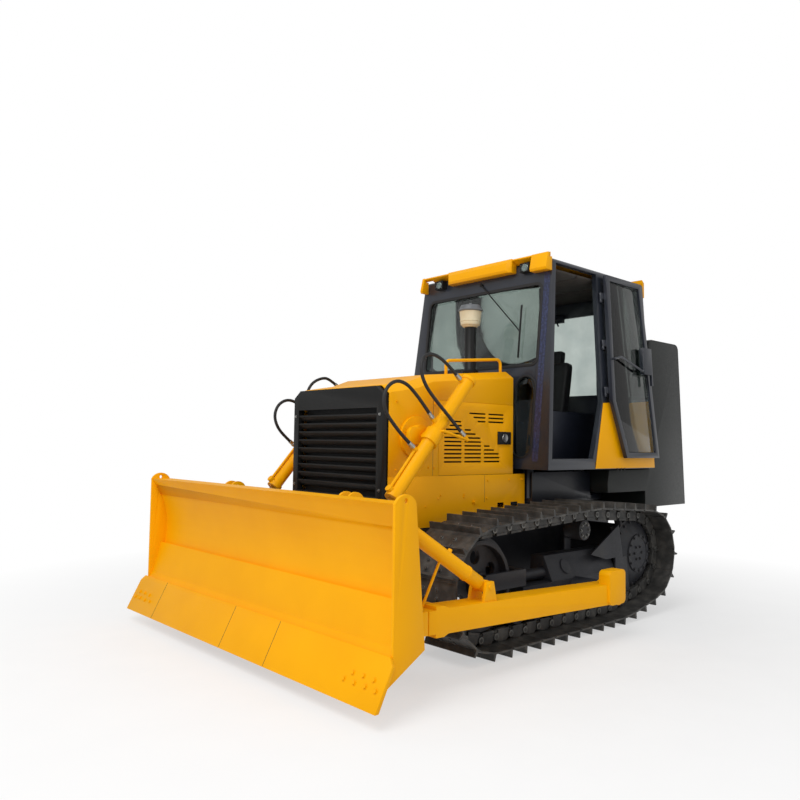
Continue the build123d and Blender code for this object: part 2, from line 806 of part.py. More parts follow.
def yoke():
    """Fork that holds the idler's axle, on the rod of the tension spring."""
    fork = rod_between((HOUSING_FRONT_X - 5, TRACK_Y, IDLER_Z), (YOKE_REAR_X + 5, TRACK_Y, IDLER_Z), RECOIL_ROD_R)
    reach = YOKE_OUT + YOKE_ARM
    fork += block(YOKE_REAR_X, YOKE_REAR_X + YOKE_BLOCK, TRACK_Y - reach, TRACK_Y + reach, YOKE_LOW_Z, YOKE_HIGH_Z)
    for low in (TRACK_Y + YOKE_OUT, TRACK_Y - reach):
        fork += block(YOKE_REAR_X + YOKE_BLOCK - 5, IDLER_X, low, low + YOKE_ARM, YOKE_LOW_Z, YOKE_HIGH_Z)
        fork += across(YOKE_BOSS_R, IDLER_X, IDLER_Z, low, low + YOKE_ARM)
    return fork + across(IDLER_AXLE_R, IDLER_X, IDLER_Z, TRACK_Y - YOKE_OUT, TRACK_Y + YOKE_OUT)


def track_frame(side):
    """Box beam with the recoil housing, the idler's yoke and axle, and the roller guards."""
    beam = block(HOUSING_REAR_X - 20, YOKE_REAR_X + 5, FRAME_INNER_Y, FRAME_OUTER_Y, FRAME_BOTTOM_Z, FRAME_TOP_Z)
    beam += recoil_housing()
    beam += yoke()
    guard_front = roller_places()[0] + ROLLER_GUARD_OVERRUN
    guard_rear = LAST_ROLLER_X - ROLLER_GUARD_OVERRUN
    for low in (FRAME_OUTER_Y - ROLLER_GUARD, FRAME_INNER_Y):
        beam += block(guard_rear, guard_front, low, low + ROLLER_GUARD, ROLLER_GUARD_LOW_Z, FRAME_BOTTOM_Z + 5)
    for x in roller_places():
        beam += across(ROLLER_AXLE_R, x, ROLLER_Z, FRAME_INNER_Y + 5, FRAME_OUTER_Y - 5)
    bracket_face = TRACK_Y - RAIL_OUT - 5
    half = CARRIER_BRACKET / 2
    beam += block(CARRIER_X - half, CARRIER_X + half, FRAME_INNER_Y + 20, bracket_face, HOUSING_TOP_Z - 5, CARRIER_Z + half)
    beam += across(ROLLER_AXLE_R, CARRIER_X, CARRIER_Z, bracket_face - 5, TRACK_Y + RAIL_OUT - 25)
    beam += across(TRUNNION_R, TRUNNION_X, TRUNNION_Z, FRAME_OUTER_Y - 10, ARM_OUTER_Y - ARM_CLOSED_WALL - 10)
    boss = TRUNNION_R + TRUNNION_BOSS
    beam += across(boss, TRUNNION_X, TRUNNION_Z, FRAME_OUTER_Y - 10, ARM_INNER_Y - MOVING_GAP)
    # Guide plate before the sprocket, and the gusset that carries on from it above
    rear = HOUSING_REAR_X
    plates = (
        ((rear - 5, ROLLER_GUARD_LOW_Z), (rear - 5, 565), (rear - 190, 545), (rear - 240, 245)),
        ((rear + 380, 612), (rear - 62, 838), (rear - 128, 555), (rear + 140, 550)),
    )
    for plate in plates:
        beam += slab(plate, FRAME_OUTER_Y - GUIDE_PLATE, FRAME_OUTER_Y + 1)
    beam += block(rear, rear + 120, TRACK_Y, FRAME_OUTER_Y - GUIDE_PLATE + 1, 555, 590)
    beam += across(PIVOT_SHAFT_R, PIVOT_SHAFT_X, PIVOT_SHAFT_Z, HULL_HALF_WIDTH, FRAME_INNER_Y + 10)
    return mirrored(beam, side)


def rollers(side):
    """Six track rollers and the carrier roller, each with a clear bore on its axle."""
    pieces = []
    bore = ROLLER_AXLE_R + RUNNING_GAP
    flange = RAIL_GAP / 2 - ROLLER_FLANGE_GAP
    for x in roller_places():
        wheel = across(ROLLER_R, x, ROLLER_Z, TRACK_Y - RAIL_OUT, TRACK_Y + RAIL_OUT)
        wheel += across(ROLLER_R + ROLLER_FLANGE, x, ROLLER_Z, TRACK_Y - flange, TRACK_Y + flange)
        wheel -= across(bore, x, ROLLER_Z, TRACK_Y - RAIL_OUT - 1, TRACK_Y + RAIL_OUT + 1)
        pieces.append(mirrored(wheel, side))
    top = across(CARRIER_R, CARRIER_X, CARRIER_Z, TRACK_Y - RAIL_OUT + CARRIER_NARROWER, TRACK_Y + RAIL_OUT)
    top -= across(bore, CARRIER_X, CARRIER_Z, TRACK_Y - RAIL_OUT, TRACK_Y + RAIL_OUT - 25 + RUNNING_GAP)
    pieces.append(mirrored(top, side))
    return pieces


def hull():
    """Main frame between the tracks."""
    points = (
        (HULL_FRONT_X, HULL_TOP_Z),
        (HULL_FRONT_X, HULL_BOTTOM_Z + HULL_BOW[1]),
        (HULL_FRONT_X - HULL_BOW[0], HULL_BOTTOM_Z),
        (HULL_REAR_X + HULL_STERN[0], HULL_BOTTOM_Z),
        (HULL_REAR_X, HULL_BOTTOM_Z + HULL_STERN[1]),
        (HULL_REAR_X, HULL_TOP_Z - HULL_REAR_SLOPE[1]),
        (HULL_REAR_X + HULL_REAR_SLOPE[0], HULL_TOP_Z),
    )
    return slab(points, -HULL_HALF_WIDTH, HULL_HALF_WIDTH)


def cross_bar():
    """Equaliser bar under the hull, which rests on the two track frames."""
    reach = FRAME_INNER_Y - RUNNING_GAP
    low, high = HULL_BOTTOM_Z - BAR_HEIGHT, HULL_BOTTOM_Z - RUNNING_GAP
    return block(BAR_X, BAR_X + BAR_WIDTH, -reach, reach, low, high)


def hitch():
    """Rear drawbar clevis: two plates with one upright pin bore."""
    half, rear = HITCH_HALF_WIDTH, HULL_REAR_X - HITCH_REACH
    jaw = block(rear, HULL_REAR_X - RUNNING_GAP, -half, half, HITCH_Z, HITCH_Z + HITCH_JAW)
    low, high = HITCH_Z + HITCH_PLATE, HITCH_Z + HITCH_JAW - HITCH_PLATE
    jaw -= block(rear - 1, HULL_REAR_X - HITCH_THROAT, -half - 1, half + 1, low, high)
    bore = upright(HITCH_BORE_R, HULL_REAR_X - HITCH_BORE_BACK, 0, HITCH_Z - 1, HITCH_Z + HITCH_JAW + 1)
    return jaw - bore


def hood_stations(overrun):
    """Bends of the hood's top line from the rear, drawn on beyond both ends by overrun."""
    stations = [(HOOD_REAR_X, HOOD_TOP_REAR_Z), *HOOD_BENDS]
    if overrun:
        (x0, z0), (x1, z1) = stations[0], stations[1]
        stations[0] = (x0 - overrun, z0 - overrun * (z1 - z0) / (x1 - x0))
        (x0, z0), (x1, z1) = stations[-2], stations[-1]
        stations[-1] = (x1 + overrun, z1 + overrun * (z1 - z0) / (x1 - x0))
    return stations


def hood_top_z(x):
    """Height of the hood's flat top behind its first bend."""
    bend_x, bend_z = HOOD_BENDS[0]
    slope = (HOOD_TOP_REAR_Z - bend_z) / (HOOD_REAR_X - bend_x)
    return bend_z + slope * (x - bend_x)


def hood_outline(top_z, inset, floor_z):
    """Half points of the hood's cross-section, with its chamfered shoulders, in (y, z)."""
    half = HOOD_HALF_WIDTH - inset
    top = top_z - inset
    left = [(half, floor_z), (half, top - HOOD_CHAMFER_DOWN), (half - HOOD_CHAMFER_IN, top)]
    return left + [(-y, z) for y, z in reversed(left)]


def hood_solid(inset, floor_z, overrun):
    """Hood volume in straight stretches between its bends."""
    sections = []
    for x, top_z in hood_stations(overrun):
        outline = Polyline(*hood_outline(top_z, inset, floor_z), close=True)
        sections.append(Pos(x, 0, 0) * make_face(Plane.YZ * outline))
    solid = loft(sections[:2], ruled=True)
    for first, second in zip(sections[1:], sections[2:]):
        solid += loft([first, second], ruled=True)
    return solid


def above_hood(shape):
    """What stands on the hood, cut off just clear of its sheet."""
    return shape - hood_solid(-RUNNING_GAP, PANEL_BOTTOM_Z, MOVING_GAP)


def intake_stack():
    """Upright air intake: pipe, pre-cleaner bowl with its neck, and cap."""
    root = hood_top_z(STACK_X)
    bowl_foot = BOWL_Z + BOWL_NECK
    bowl_top = bowl_foot + BOWL_HEIGHT
    dome = bowl_top + CAP_BRIM
    stack = upright(PIPE_COLLAR_R, STACK_X, STACK_Y, root - PIPE_COLLAR, root + PIPE_COLLAR)
    stack += upright(PIPE_R, STACK_X, STACK_Y, root - PIPE_COLLAR, BOWL_Z + 5)
    stack += upright(BOWL_NECK_R, STACK_X, STACK_Y, BOWL_Z, bowl_foot + 1)
    stack += Pos(STACK_X, STACK_Y, (bowl_foot + bowl_top) / 2) * Cone(BOWL_FOOT_R, BOWL_R, BOWL_HEIGHT)
    stack += upright(CAP_R, STACK_X, STACK_Y, bowl_top - 1, dome)
    stack += Pos(STACK_X, STACK_Y, dome + CAP_HEIGHT / 2) * Cone(CAP_R - CAP_BRIM, CAP_TOP_R, CAP_HEIGHT)
    stack += upright(CAP_STUD_R, STACK_X, STACK_Y, dome, dome + CAP_HEIGHT + CAP_STUD)
    return above_hood(stack)


def hood_rail():
    """Grab rail bent from one bar, standing on the hood and falling with its top."""
    rear_z, front_z = hood_top_z(RAIL_REAR_X), hood_top_z(RAIL_FRONT_X)
    path = FilletPolyline(
        (RAIL_REAR_X, RAIL_Y, rear_z - 2 * RAIL_R),
        (RAIL_REAR_X, RAIL_Y, rear_z + RAIL_RISE),
        (RAIL_FRONT_X, RAIL_Y, front_z + RAIL_RISE),
        (RAIL_FRONT_X, RAIL_Y, front_z - 2 * RAIL_R),
        radius=RAIL_BEND_R,
    )
    return above_hood(sweep(Plane(origin=path @ 0, z_dir=path % 0) * Circle(RAIL_R), path=path))


def hood_cover():
    """Sheet cover: top, chamfers, upper sides and the full-height side strips in front."""
    sheet = hood_solid(0, PANEL_BOTTOM_Z, 0) - hood_solid(HOOD_WALL, PANEL_BOTTOM_Z - 100, 50)
    half = HOOD_HALF_WIDTH + 1
    sheet -= block(HOOD_REAR_X - 1, PANEL_FRONT_X, -half, half, PANEL_BOTTOM_Z - 1, PANEL_TOP_Z)
    return sheet


def vent_slots():
    """Ends and height of every slot in one panel, as (rear x, front x, z)."""
    slots = []
    foot_x, foot_z = VENT_REAR_FOOT
    apex_z = VENT_FIRST_Z + (VENT_ROWS - 1) * VENT_PITCH
    for row in range(VENT_ROWS):
        z = VENT_FIRST_Z + row * VENT_PITCH
        rear_limit = foot_x + max(0, z - foot_z) * (VENT_APEX_X - foot_x) / (apex_z - foot_z)
        shoulder = VENT_COLUMNS[-1][1]
        front_limit = shoulder - max(0, z - VENT_SHOULDER_Z) * (shoulder - VENT_APEX_X) / (apex_z - VENT_SHOULDER_Z)
        for rear, front in VENT_COLUMNS:
            slots.append((max(rear, rear_limit), min(front, front_limit), z))
    for row in range(UPPER_VENT_ROWS):
        z = UPPER_VENT_FIRST_Z + row * VENT_PITCH
        front_limit = UPPER_VENT_FOOT_X + (z - UPPER_VENT_FIRST_Z) * UPPER_VENT_SLOPE
        for rear, front in UPPER_VENT_COLUMNS:
            slots.append((rear, min(front, front_limit), z))
    return [slot for slot in slots if slot[1] - slot[0] > VENT_SHORTEST]


def vent_panel(side):
    """Slotted side panel between the cover and the skirt, screwed behind the cover's edge."""
    low_y = HOOD_HALF_WIDTH - HOOD_WALL
    rear, front = HOOD_REAR_X, PANEL_FRONT_X - PANEL_SEAM
    sheet = block(rear, front, low_y, HOOD_HALF_WIDTH, PANEL_BOTTOM_Z + PANEL_SEAM, PANEL_TOP_Z - PANEL_SEAM)
    tab_face = low_y - RUNNING_GAP
    sheet += block(rear, PANEL_FRONT_X + PANEL_TAB, tab_face - HOOD_WALL, tab_face, PANEL_TOP_Z - PANEL_TAB, PANEL_TOP_Z + PANEL_TAB)
    sheet += block(rear, front, tab_face - HOOD_WALL, low_y + 1, PANEL_TOP_Z - PANEL_TAB, PANEL_TOP_Z - PANEL_SEAM)
    slots = Sketch() + [
        Pos((x0 + x1) / 2, z) * SlotOverall(x1 - x0, VENT_HEIGHT) for x0, x1, z in vent_slots()
    ]
    cutter = Plane(origin=(0, HOOD_HALF_WIDTH + 1, 0), x_dir=(1, 0, 0), z_dir=(0, -1, 0)) * slots
    sheet -= extrude(cutter, amount=HOOD_WALL + 2, dir=(0, -1, 0))
    return mirrored(sheet, side)


def latch(side):
    """Paddle latch near the rear edge of a side panel."""
    low = HOOD_HALF_WIDTH + RUNNING_GAP
    half = LATCH_HEIGHT / 2
    x_high = LATCH_REAR_X + LATCH_LENGTH
    body = block(LATCH_REAR_X, x_high, low, low + LATCH_THICKNESS, LATCH_Z - half, LATCH_Z + half)
    body = chamfer(body.faces().sort_by(Axis.Y)[-1].edges(), LATCH_THICKNESS / 3)
    return mirrored(body, side)


def skirt(side):
    """Side plate under the vents, on a flange that lies on the hull."""
    low_y = HOOD_HALF_WIDTH - HOOD_WALL
    top = PANEL_BOTTOM_Z - RUNNING_GAP
    edge = SKIRT_BOTTOM_Z - SKIRT_DROP
    sheet = block(SKIRT_REAR_X, HOOD_FRONT_X, low_y, HOOD_HALF_WIDTH, edge, top)
    for rear, front in SKIRT_NOTCHES:
        sheet -= block(rear, front, low_y - 1, HOOD_HALF_WIDTH + 1, edge - 1, SKIRT_NOTCH_TOP_Z)
    foot = block(SKIRT_REAR_X, HOOD_FRONT_X, HULL_HALF_WIDTH - SKIRT_FOOT_LAP, low_y + 1, SKIRT_BOTTOM_Z, SKIRT_BOTTOM_Z + SKIRT_FOOT)
    return mirrored(sheet + foot, side)


def radiator_guard():
    """Black guard over the radiator: a surround with cut top corners and level slats."""
    back = HOOD_FRONT_X + RUNNING_GAP
    front = HOOD_FRONT_X + GUARD_DEPTH
    top = HOOD_BENDS[-1][1] - GUARD_STEP_DOWN
    section = hood_outline(top + GUARD_SIDE_STEP, GUARD_SIDE_STEP, GUARD_BOTTOM_Z)
    outline = Plane.YZ * Polyline(*section, close=True)
    body = Pos(back, 0, 0) * extrude(make_face(outline), amount=front - back, dir=(1, 0, 0))
    grille_top = top - GUARD_HEADER
    inner = HOOD_HALF_WIDTH - GUARD_FRAME
    body -= block(back - 1, front + 1, -inner, inner, GRILLE_BOTTOM_Z, grille_top)
    step = (grille_top - GRILLE_BOTTOM_Z) / (SLAT_COUNT + 1)
    rear, tip = back + 4, front - 4
    for row in range(SLAT_COUNT):
        low = GRILLE_BOTTOM_Z + (row + 1) * step - SLAT_FACE / 2
        high = low + SLAT_FACE
        slat = (
            (tip - SLAT_SLOPE, low),
            (tip, high - SLAT_LIP),
            (tip, high),
            (rear, high),
            (rear, high - SLAT_LIP),
            (tip - SLAT_LIP, high - SLAT_LIP),
            (tip - SLAT_SLOPE - SLAT_LIP, low),
        )
        body += slab(slat, -inner - 2, inner + 2)
    return body


def radiator_core():
    half = HOOD_HALF_WIDTH - CORE_SIDE_GAP
    low = SKIRT_BOTTOM_Z + SKIRT_FOOT + RUNNING_GAP
    front = HOOD_FRONT_X - CORE_BACK
    return block(front - CORE_THICKNESS, front, -half, half, low, HOOD_BENDS[-1][1] - CORE_TOP_GAP)


def engine():
    """Closed-in engine as one plain block at its real place and size."""
    half = HOOD_HALF_WIDTH - ENGINE_SIDE_GAP
    return block(ENGINE_REAR_X, ENGINE_REAR_X + ENGINE_LENGTH, -half, half, HULL_TOP_Z + RUNNING_GAP, ENGINE_TOP_Z)


# Cab
SIDE_LEAN = atan2(CAB_HALF_BOTTOM - CAB_HALF_TOP, CAB_HEIGHT)
FRONT_LEAN = atan2(CAB_FRONT_BOTTOM_X - CAB_FRONT_TOP_X, CAB_HEIGHT)
FRONT_ORIGIN = (CAB_FRONT_BOTTOM_X, 0, CAB_FLOOR_Z)
FRONT_PLANE = Plane(origin=FRONT_ORIGIN, x_dir=(0, 1, 0), z_dir=(cos(FRONT_LEAN), 0, sin(FRONT_LEAN)))
SIDE_ORIGIN = (0, CAB_HALF_BOTTOM, CAB_FLOOR_Z)
SIDE_PLANE = Plane(origin=SIDE_ORIGIN, x_dir=(-1, 0, 0), z_dir=(0, cos(SIDE_LEAN), sin(SIDE_LEAN)))


def front_x(z):
    return CAB_FRONT_BOTTOM_X - (z - CAB_FLOOR_Z) * tan(FRONT_LEAN)


def cab_volume(inset, z_low, z_high):
    """Outside of the cab moved inwards by inset, between two heights."""
    sections = []
    for z in (z_low, z_high):
        share = (z - CAB_FLOOR_Z) / CAB_HEIGHT
        half = CAB_HALF_BOTTOM + (CAB_HALF_TOP - CAB_HALF_BOTTOM) * share - inset
        front = front_x(z) - inset
        rear = CAB_REAR_BOTTOM_X + (CAB_REAR_TOP_X - CAB_REAR_BOTTOM_X) * share + inset
        points = ((front, -half), (front, half), (rear, half), (rear, -half))
        sections.append(Pos(0, 0, z) * make_face(Polyline(*points, close=True)))
    return loft(sections, ruled=True)


def on_side_plane(x, z):
    return -x, (z - CAB_FLOOR_Z) / cos(SIDE_LEAN)


def side_outline(points, inset=0.0):
    """Outline in the cab's leaning side plane from (x, z) points."""
    face = make_face(Polyline(*[on_side_plane(x, z) for x, z in points], close=True))
    return offset(face, amount=-inset, kind=Kind.INTERSECTION) if inset else face


def side_box(x_low, x_high, z_low, z_high):
    """Rectangle in the cab's leaning side plane."""
    return side_outline(((x_low, z_low), (x_high, z_low), (x_high, z_high), (x_low, z_high)))


def on_side(face, inner, outer):
    """Plate on the left side, from one distance outside the side plane to another."""
    return SIDE_PLANE.offset(inner) * extrude(face, amount=outer - inner)


def side_point(x, z, out):
    """Point at a distance outside the left side plane."""
    return (SIDE_PLANE.offset(out) * Pos(*on_side_plane(x, z), 0)).position


def front_point(y, z, out):
    """Point at a distance in front of the windscreen's plane."""
    return (FRONT_PLANE.offset(out) * Pos(y, (z - CAB_FLOOR_Z) / cos(FRONT_LEAN), 0)).position


def front_window(y_low, y_high, z_low, z_high, radius, inset=0.0):
    """Rounded window outline in the front plane."""
    low = (z_low - CAB_FLOOR_Z) / cos(FRONT_LEAN) + inset
    high = (z_high - CAB_FLOOR_Z) / cos(FRONT_LEAN) - inset
    shape = RectangleRounded(y_high - y_low - 2 * inset, high - low, radius - inset)
    return Pos((y_low + y_high) / 2, (low + high) / 2) * shape


DOOR_OUTLINE = (
    (front_x(LINTEL_Z) - CAB_WALL, LINTEL_Z),
    (HINGE_X + HINGE_SETBACK, LINTEL_Z),
    (HINGE_X + HINGE_SETBACK, DOOR_WAIST_Z),
    (DOOR_HEEL_X, SILL_TOP_Z),
    (front_x(SILL_TOP_Z) - CAB_WALL, SILL_TOP_Z),
)
QUARTER_TOP_Z = CAB_TOP_Z - QUARTER_DROP
QUARTER_LOW_Z = DOOR_WAIST_Z + QUARTER_RISE
QUARTER_OUTLINE = (
    (PILLAR_REAR_X, QUARTER_TOP_Z),
    (CAB_REAR_TOP_X + QUARTER_REAR[0], QUARTER_TOP_Z),
    (CAB_REAR_TOP_X + QUARTER_REAR[1], QUARTER_LOW_Z),
    (PILLAR_REAR_X, QUARTER_LOW_Z),
)
WINDSCREEN_TOP_Z = CAB_TOP_Z - WINDSCREEN_DROP
WINDSCREEN_LOW_Z = WINDSCREEN_TOP_Z - WINDSCREEN_HEIGHT
WINDSCREEN = (-WINDSCREEN_HALF, WINDSCREEN_HALF, WINDSCREEN_LOW_Z, WINDSCREEN_TOP_Z, WINDSCREEN_CORNER_R)
REAR_WINDOW_TOP_Z = CAB_TOP_Z - REAR_WINDOW_DROP
REAR_WINDOW_LOW_Z = REAR_WINDOW_TOP_Z - REAR_WINDOW_HEIGHT
LOWER_WINDOW_LOW_Z = CAB_FLOOR_Z + LOWER_WINDOW_RISE
LOWER_WINDOW = (
    LOWER_WINDOW_INNER_Y,
    LOWER_WINDOW_INNER_Y + LOWER_WINDOW_WIDTH,
    LOWER_WINDOW_LOW_Z,
    LOWER_WINDOW_LOW_Z + LOWER_WINDOW_HEIGHT,
    LOWER_WINDOW_WIDTH / 2 - 1,
)


def cab_frame():
    """Hollow cab body with its window and door openings and the hinges' fixed halves."""
    shell = cab_volume(0, CAB_FLOOR_Z, CAB_TOP_Z)
    top_edges = shell.edges().group_by(Axis.Z)[-1]
    rails = top_edges.filter_by(Axis.X) + top_edges.filter_by(Axis.Y).sort_by(Axis.X)[-1:]
    frame = fillet(rails, CAB_TOP_R) - cab_volume(CAB_WALL, CAB_FLOOR_Z - 50, CAB_TOP_Z + 50)
    reach = 2 * CAB_WALL
    through = FRONT_PLANE.offset(-reach)
    frame -= through * extrude(front_window(*WINDSCREEN), amount=2 * reach)
    for lower in both_sides(through * extrude(front_window(*LOWER_WINDOW), amount=2 * reach)):
        frame -= lower
    for outline in (DOOR_OUTLINE, QUARTER_OUTLINE):
        for hole in both_sides(on_side(side_outline(outline), -reach, reach)):
            frame -= hole
    half = REAR_WINDOW_HALF
    rear_low, rear_high = CAB_REAR_BOTTOM_X - reach, CAB_REAR_TOP_X + reach
    frame -= block(rear_low, rear_high, -half, half, REAR_WINDOW_LOW_Z, REAR_WINDOW_TOP_Z)
    for hinge in door_hinges():
        for piece in both_sides(hinge):
            frame += piece
    return frame


def door_hinges():
    """Pins and lower knuckles on the pillar, one for each hinge of the left door."""
    pieces = []
    half = KNUCKLE_LENGTH / 2
    for z in HINGE_HEIGHTS:
        top = z - half - RUNNING_GAP
        low = top - half
        hinge = on_side(side_box(PILLAR_REAR_X + 15, HINGE_X, low, top), -1, HINGE_OUT)
        hinge += rod_between(side_point(HINGE_X, low, HINGE_OUT), side_point(HINGE_X, top, HINGE_OUT), KNUCKLE_R)
        pin_top = side_point(HINGE_X, z + half, HINGE_OUT)
        hinge += rod_between(side_point(HINGE_X, low, HINGE_OUT), pin_top, HINGE_PIN_R)
        pieces.append(hinge)
    return pieces


def cab_floor():
    return cab_volume(CAB_WALL + RUNNING_GAP, CAB_FLOOR_Z, CAB_FLOOR_Z + CAB_FLOOR)


def seat():
    """Operator's seat on its box, with a headrest."""
    box_top = FLOOR_TOP_Z + SEAT_BOX_HEIGHT
    cushion_top = box_top + SEAT_CUSHION
    inner = SEAT_HALF - 30
    shape = block(SEAT_REAR_X + 60, SEAT_FRONT_X - 40, -inner, inner, FLOOR_TOP_Z, box_top + 5)
    shape += block(SEAT_REAR_X, SEAT_FRONT_X, -SEAT_HALF, SEAT_HALF, box_top, cushion_top)
    foot, top = cushion_top - 10, cushion_top + SEAT_BACK_HEIGHT
    front = SEAT_REAR_X + 50
    rear = front - SEAT_BACK_THICKNESS
    back = ((front, foot), (rear, foot), (rear - SEAT_BACK_LEAN, top), (front - SEAT_BACK_LEAN, top))
    shape += slab(back, 15 - SEAT_HALF, SEAT_HALF - 15)
    rest_rear = rear - SEAT_BACK_LEAN
    half = HEADREST_HALF
    rest = block(rest_rear, rest_rear + 0.8 * SEAT_BACK_THICKNESS, -half, half, top - 5, top + HEADREST_HEIGHT)
    return shape + fillet(rest.edges().filter_by(Axis.Y), 30)


def console():
    """Boxes each side of the seat with their levers, and the dash in front of it."""
    top = FLOOR_TOP_Z + CONSOLE_HEIGHT
    rear, front = CONSOLE_REAR_X, CONSOLE_FRONT_X
    outer = CONSOLE_INNER_Y + CONSOLE_WIDTH
    outline = ((rear, FLOOR_TOP_Z), (rear, top), (front - 90, top), (front, top - 130), (front, FLOOR_TOP_Z))
    box = slab(outline, CONSOLE_INNER_Y, outer)
    for x, share, height in LEVERS:
        y = CONSOLE_INNER_Y + share * CONSOLE_WIDTH
        box += upright(LEVER_R, x, y, top - 10, top + height)
        box += Pos(x, y, top + height) * Sphere(LEVER_KNOB_R)
    dash = block(DASH_REAR_X, DASH_REAR_X + DASH_THICKNESS, -DASH_HALF, DASH_HALF, FLOOR_TOP_Z, FLOOR_TOP_Z + DASH_HEIGHT)
    upper = dash.edges().filter_by(Axis.Y).sort_by(Axis.Z)[-2:]
    return [*both_sides(box), fillet(upper, 45)]


def cab_roof():
    """Roof cap whose brow stands over the windscreen between two lamp recesses."""
    low, top = CAB_TOP_Z + RUNNING_GAP, CAB_TOP_Z + ROOF_THICKNESS
    fascia = CAB_TOP_Z - ROOF_FASCIA_DROP
    rear = CAB_REAR_TOP_X - ROOF_REAR_EAVE
    points = (
        (rear + ROOF_REAR_EAVE - 3 * RUNNING_GAP, low),
        (front_x(low) + 3 * RUNNING_GAP, low),
        (front_x(fascia) + 3 * RUNNING_GAP, fascia),
        (ROOF_FRONT_X, top - ROOF_FRONT_LIP),
        (ROOF_FRONT_X - 8, top - 8),
        (ROOF_FRONT_X - 40, top),
        (CAB_REAR_TOP_X, top),
        (rear + ROOF_REAR_EAVE - 3 * RUNNING_GAP, top - 4),
    )
    roof = slab(points, -ROOF_HALF, ROOF_HALF)
    back = CAB_REAR_TOP_X - 3
    wrap = ((back, low - ROOF_REAR_DROP), (rear, low - ROOF_REAR_DROP), (rear, top - ROOF_REAR_BEVEL), (CAB_REAR_TOP_X, top), (back + 2, top), (back + 2, low), (back, low))
    roof += slab(wrap, -CAB_HALF_TOP - RUNNING_GAP, CAB_HALF_TOP + RUNNING_GAP)
    foot = top - ROOF_THICKNESS - BROW_DROP
    back = front_x(foot) + 3 * RUNNING_GAP
    bevel_in, bevel_down = BROW_BEVEL
    brow = (
        (back, foot),
        (BROW_FRONT_X - 12, foot),
        (BROW_FRONT_X, foot + 22),
        (BROW_FRONT_X - 6, top - bevel_down),
        (BROW_FRONT_X - 6 - bevel_in, top - 4),
        (ROOF_FRONT_X - 20, top - 4),
        (ROOF_FRONT_X - 20, low + 1),
        (back, low + 1),
    )
    front = slab(brow, -BROW_HALF, BROW_HALF)
    for y in (-BROW_HALF, BROW_HALF):
        cut = Pos(BROW_FRONT_X, y, (foot + top) / 2) * Rot(0, 0, 45)
        front -= cut * Box(sqrt(2) * BROW_SIDE_BEVEL, sqrt(2) * BROW_SIDE_BEVEL, top)
    roof += front
    foot = top - ROOF_THICKNESS - BROW_CORNER_DROP
    back = front_x(foot) + 3 * RUNNING_GAP
    corner = (
        (back, foot),
        (BROW_FRONT_X - 22, foot),
        (BROW_FRONT_X - 12, foot + 22),
        (ROOF_FRONT_X, top - 6),
        (ROOF_FRONT_X - 20, top - 6),
        (ROOF_FRONT_X - 20, low + 1),
        (back, low + 1),
    )
    for y_low, y_high in BROW_CORNERS:
        roof += slab(corner, y_low, y_high)
    lip = (
        (ROOF_FRONT_X - 40, low + 4),
        (ROOF_FRONT_X - 1, top - ROOF_FRONT_LIP),
        (ROOF_FRONT_X - 1, top - 9),
        (ROOF_FRONT_X - 40, top - 2),
    )
    roof += slab(lip, BROW_CORNERS[1][0] + 1, BROW_CORNERS[0][1] - 1)
    return roof


def roof_lamps():
    """Square work lamps in the recesses beside the brow."""
    low = CAB_TOP_Z - LAMP_DROP
    back = front_x(low) + RUNNING_GAP
    lamp = block(back, back + LAMP_DEPTH, LAMP_Y - LAMP_WIDTH / 2, LAMP_Y + LAMP_WIDTH / 2, low, low + LAMP_HEIGHT)
    lamp = chamfer(lamp.faces().sort_by(Axis.X)[0].edges(), 12)
    return both_sides(lamp)


def wiper():
    """Windscreen wiper: hub on the header, arm and blade."""
    hub_y, hub_z = WIPER_HUB
    tip_y, tip_z = WIPER_TIP
    arm = rod_between(front_point(hub_y, hub_z, RUNNING_GAP), front_point(hub_y, hub_z, WIPER_OUT + 8), 2.5 * WIPER_ARM_R)
    arm += rod_between(front_point(hub_y, hub_z, WIPER_OUT), front_point(tip_y, tip_z, WIPER_OUT), WIPER_ARM_R)
    half = WIPER_BLADE_LENGTH / 2
    low, high = front_point(tip_y, tip_z - half, WIPER_OUT), front_point(tip_y, tip_z + half, WIPER_OUT)
    return arm + rod_between(low, high, WIPER_BLADE_R)


def windscreen():
    pane = front_window(*WINDSCREEN, inset=GLASS_GAP)
    return FRONT_PLANE.offset(-CAB_WALL / 2) * extrude(pane, amount=GLASS)


def lower_windows():
    pane = front_window(*LOWER_WINDOW, inset=GLASS_GAP)
    return both_sides(FRONT_PLANE.offset(-CAB_WALL / 2) * extrude(pane, amount=GLASS))


def quarter_glass():
    inner = -CAB_WALL / 2
    return both_sides(on_side(side_outline(QUARTER_OUTLINE, GLASS_GAP), inner, inner + GLASS))


def rear_glass():
    """Upright pane in the rear wall, behind the middle of the wall's slight lean."""
    half = REAR_WINDOW_HALF - GLASS_GAP
    share = ((REAR_WINDOW_LOW_Z + REAR_WINDOW_TOP_Z) / 2 - CAB_FLOOR_Z) / CAB_HEIGHT
    x = CAB_REAR_BOTTOM_X + (CAB_REAR_TOP_X - CAB_REAR_BOTTOM_X) * share + CAB_WALL / 2
    return block(x, x + GLASS, -half, half, REAR_WINDOW_LOW_Z + GLASS_GAP, REAR_WINDOW_TOP_Z - GLASS_GAP)


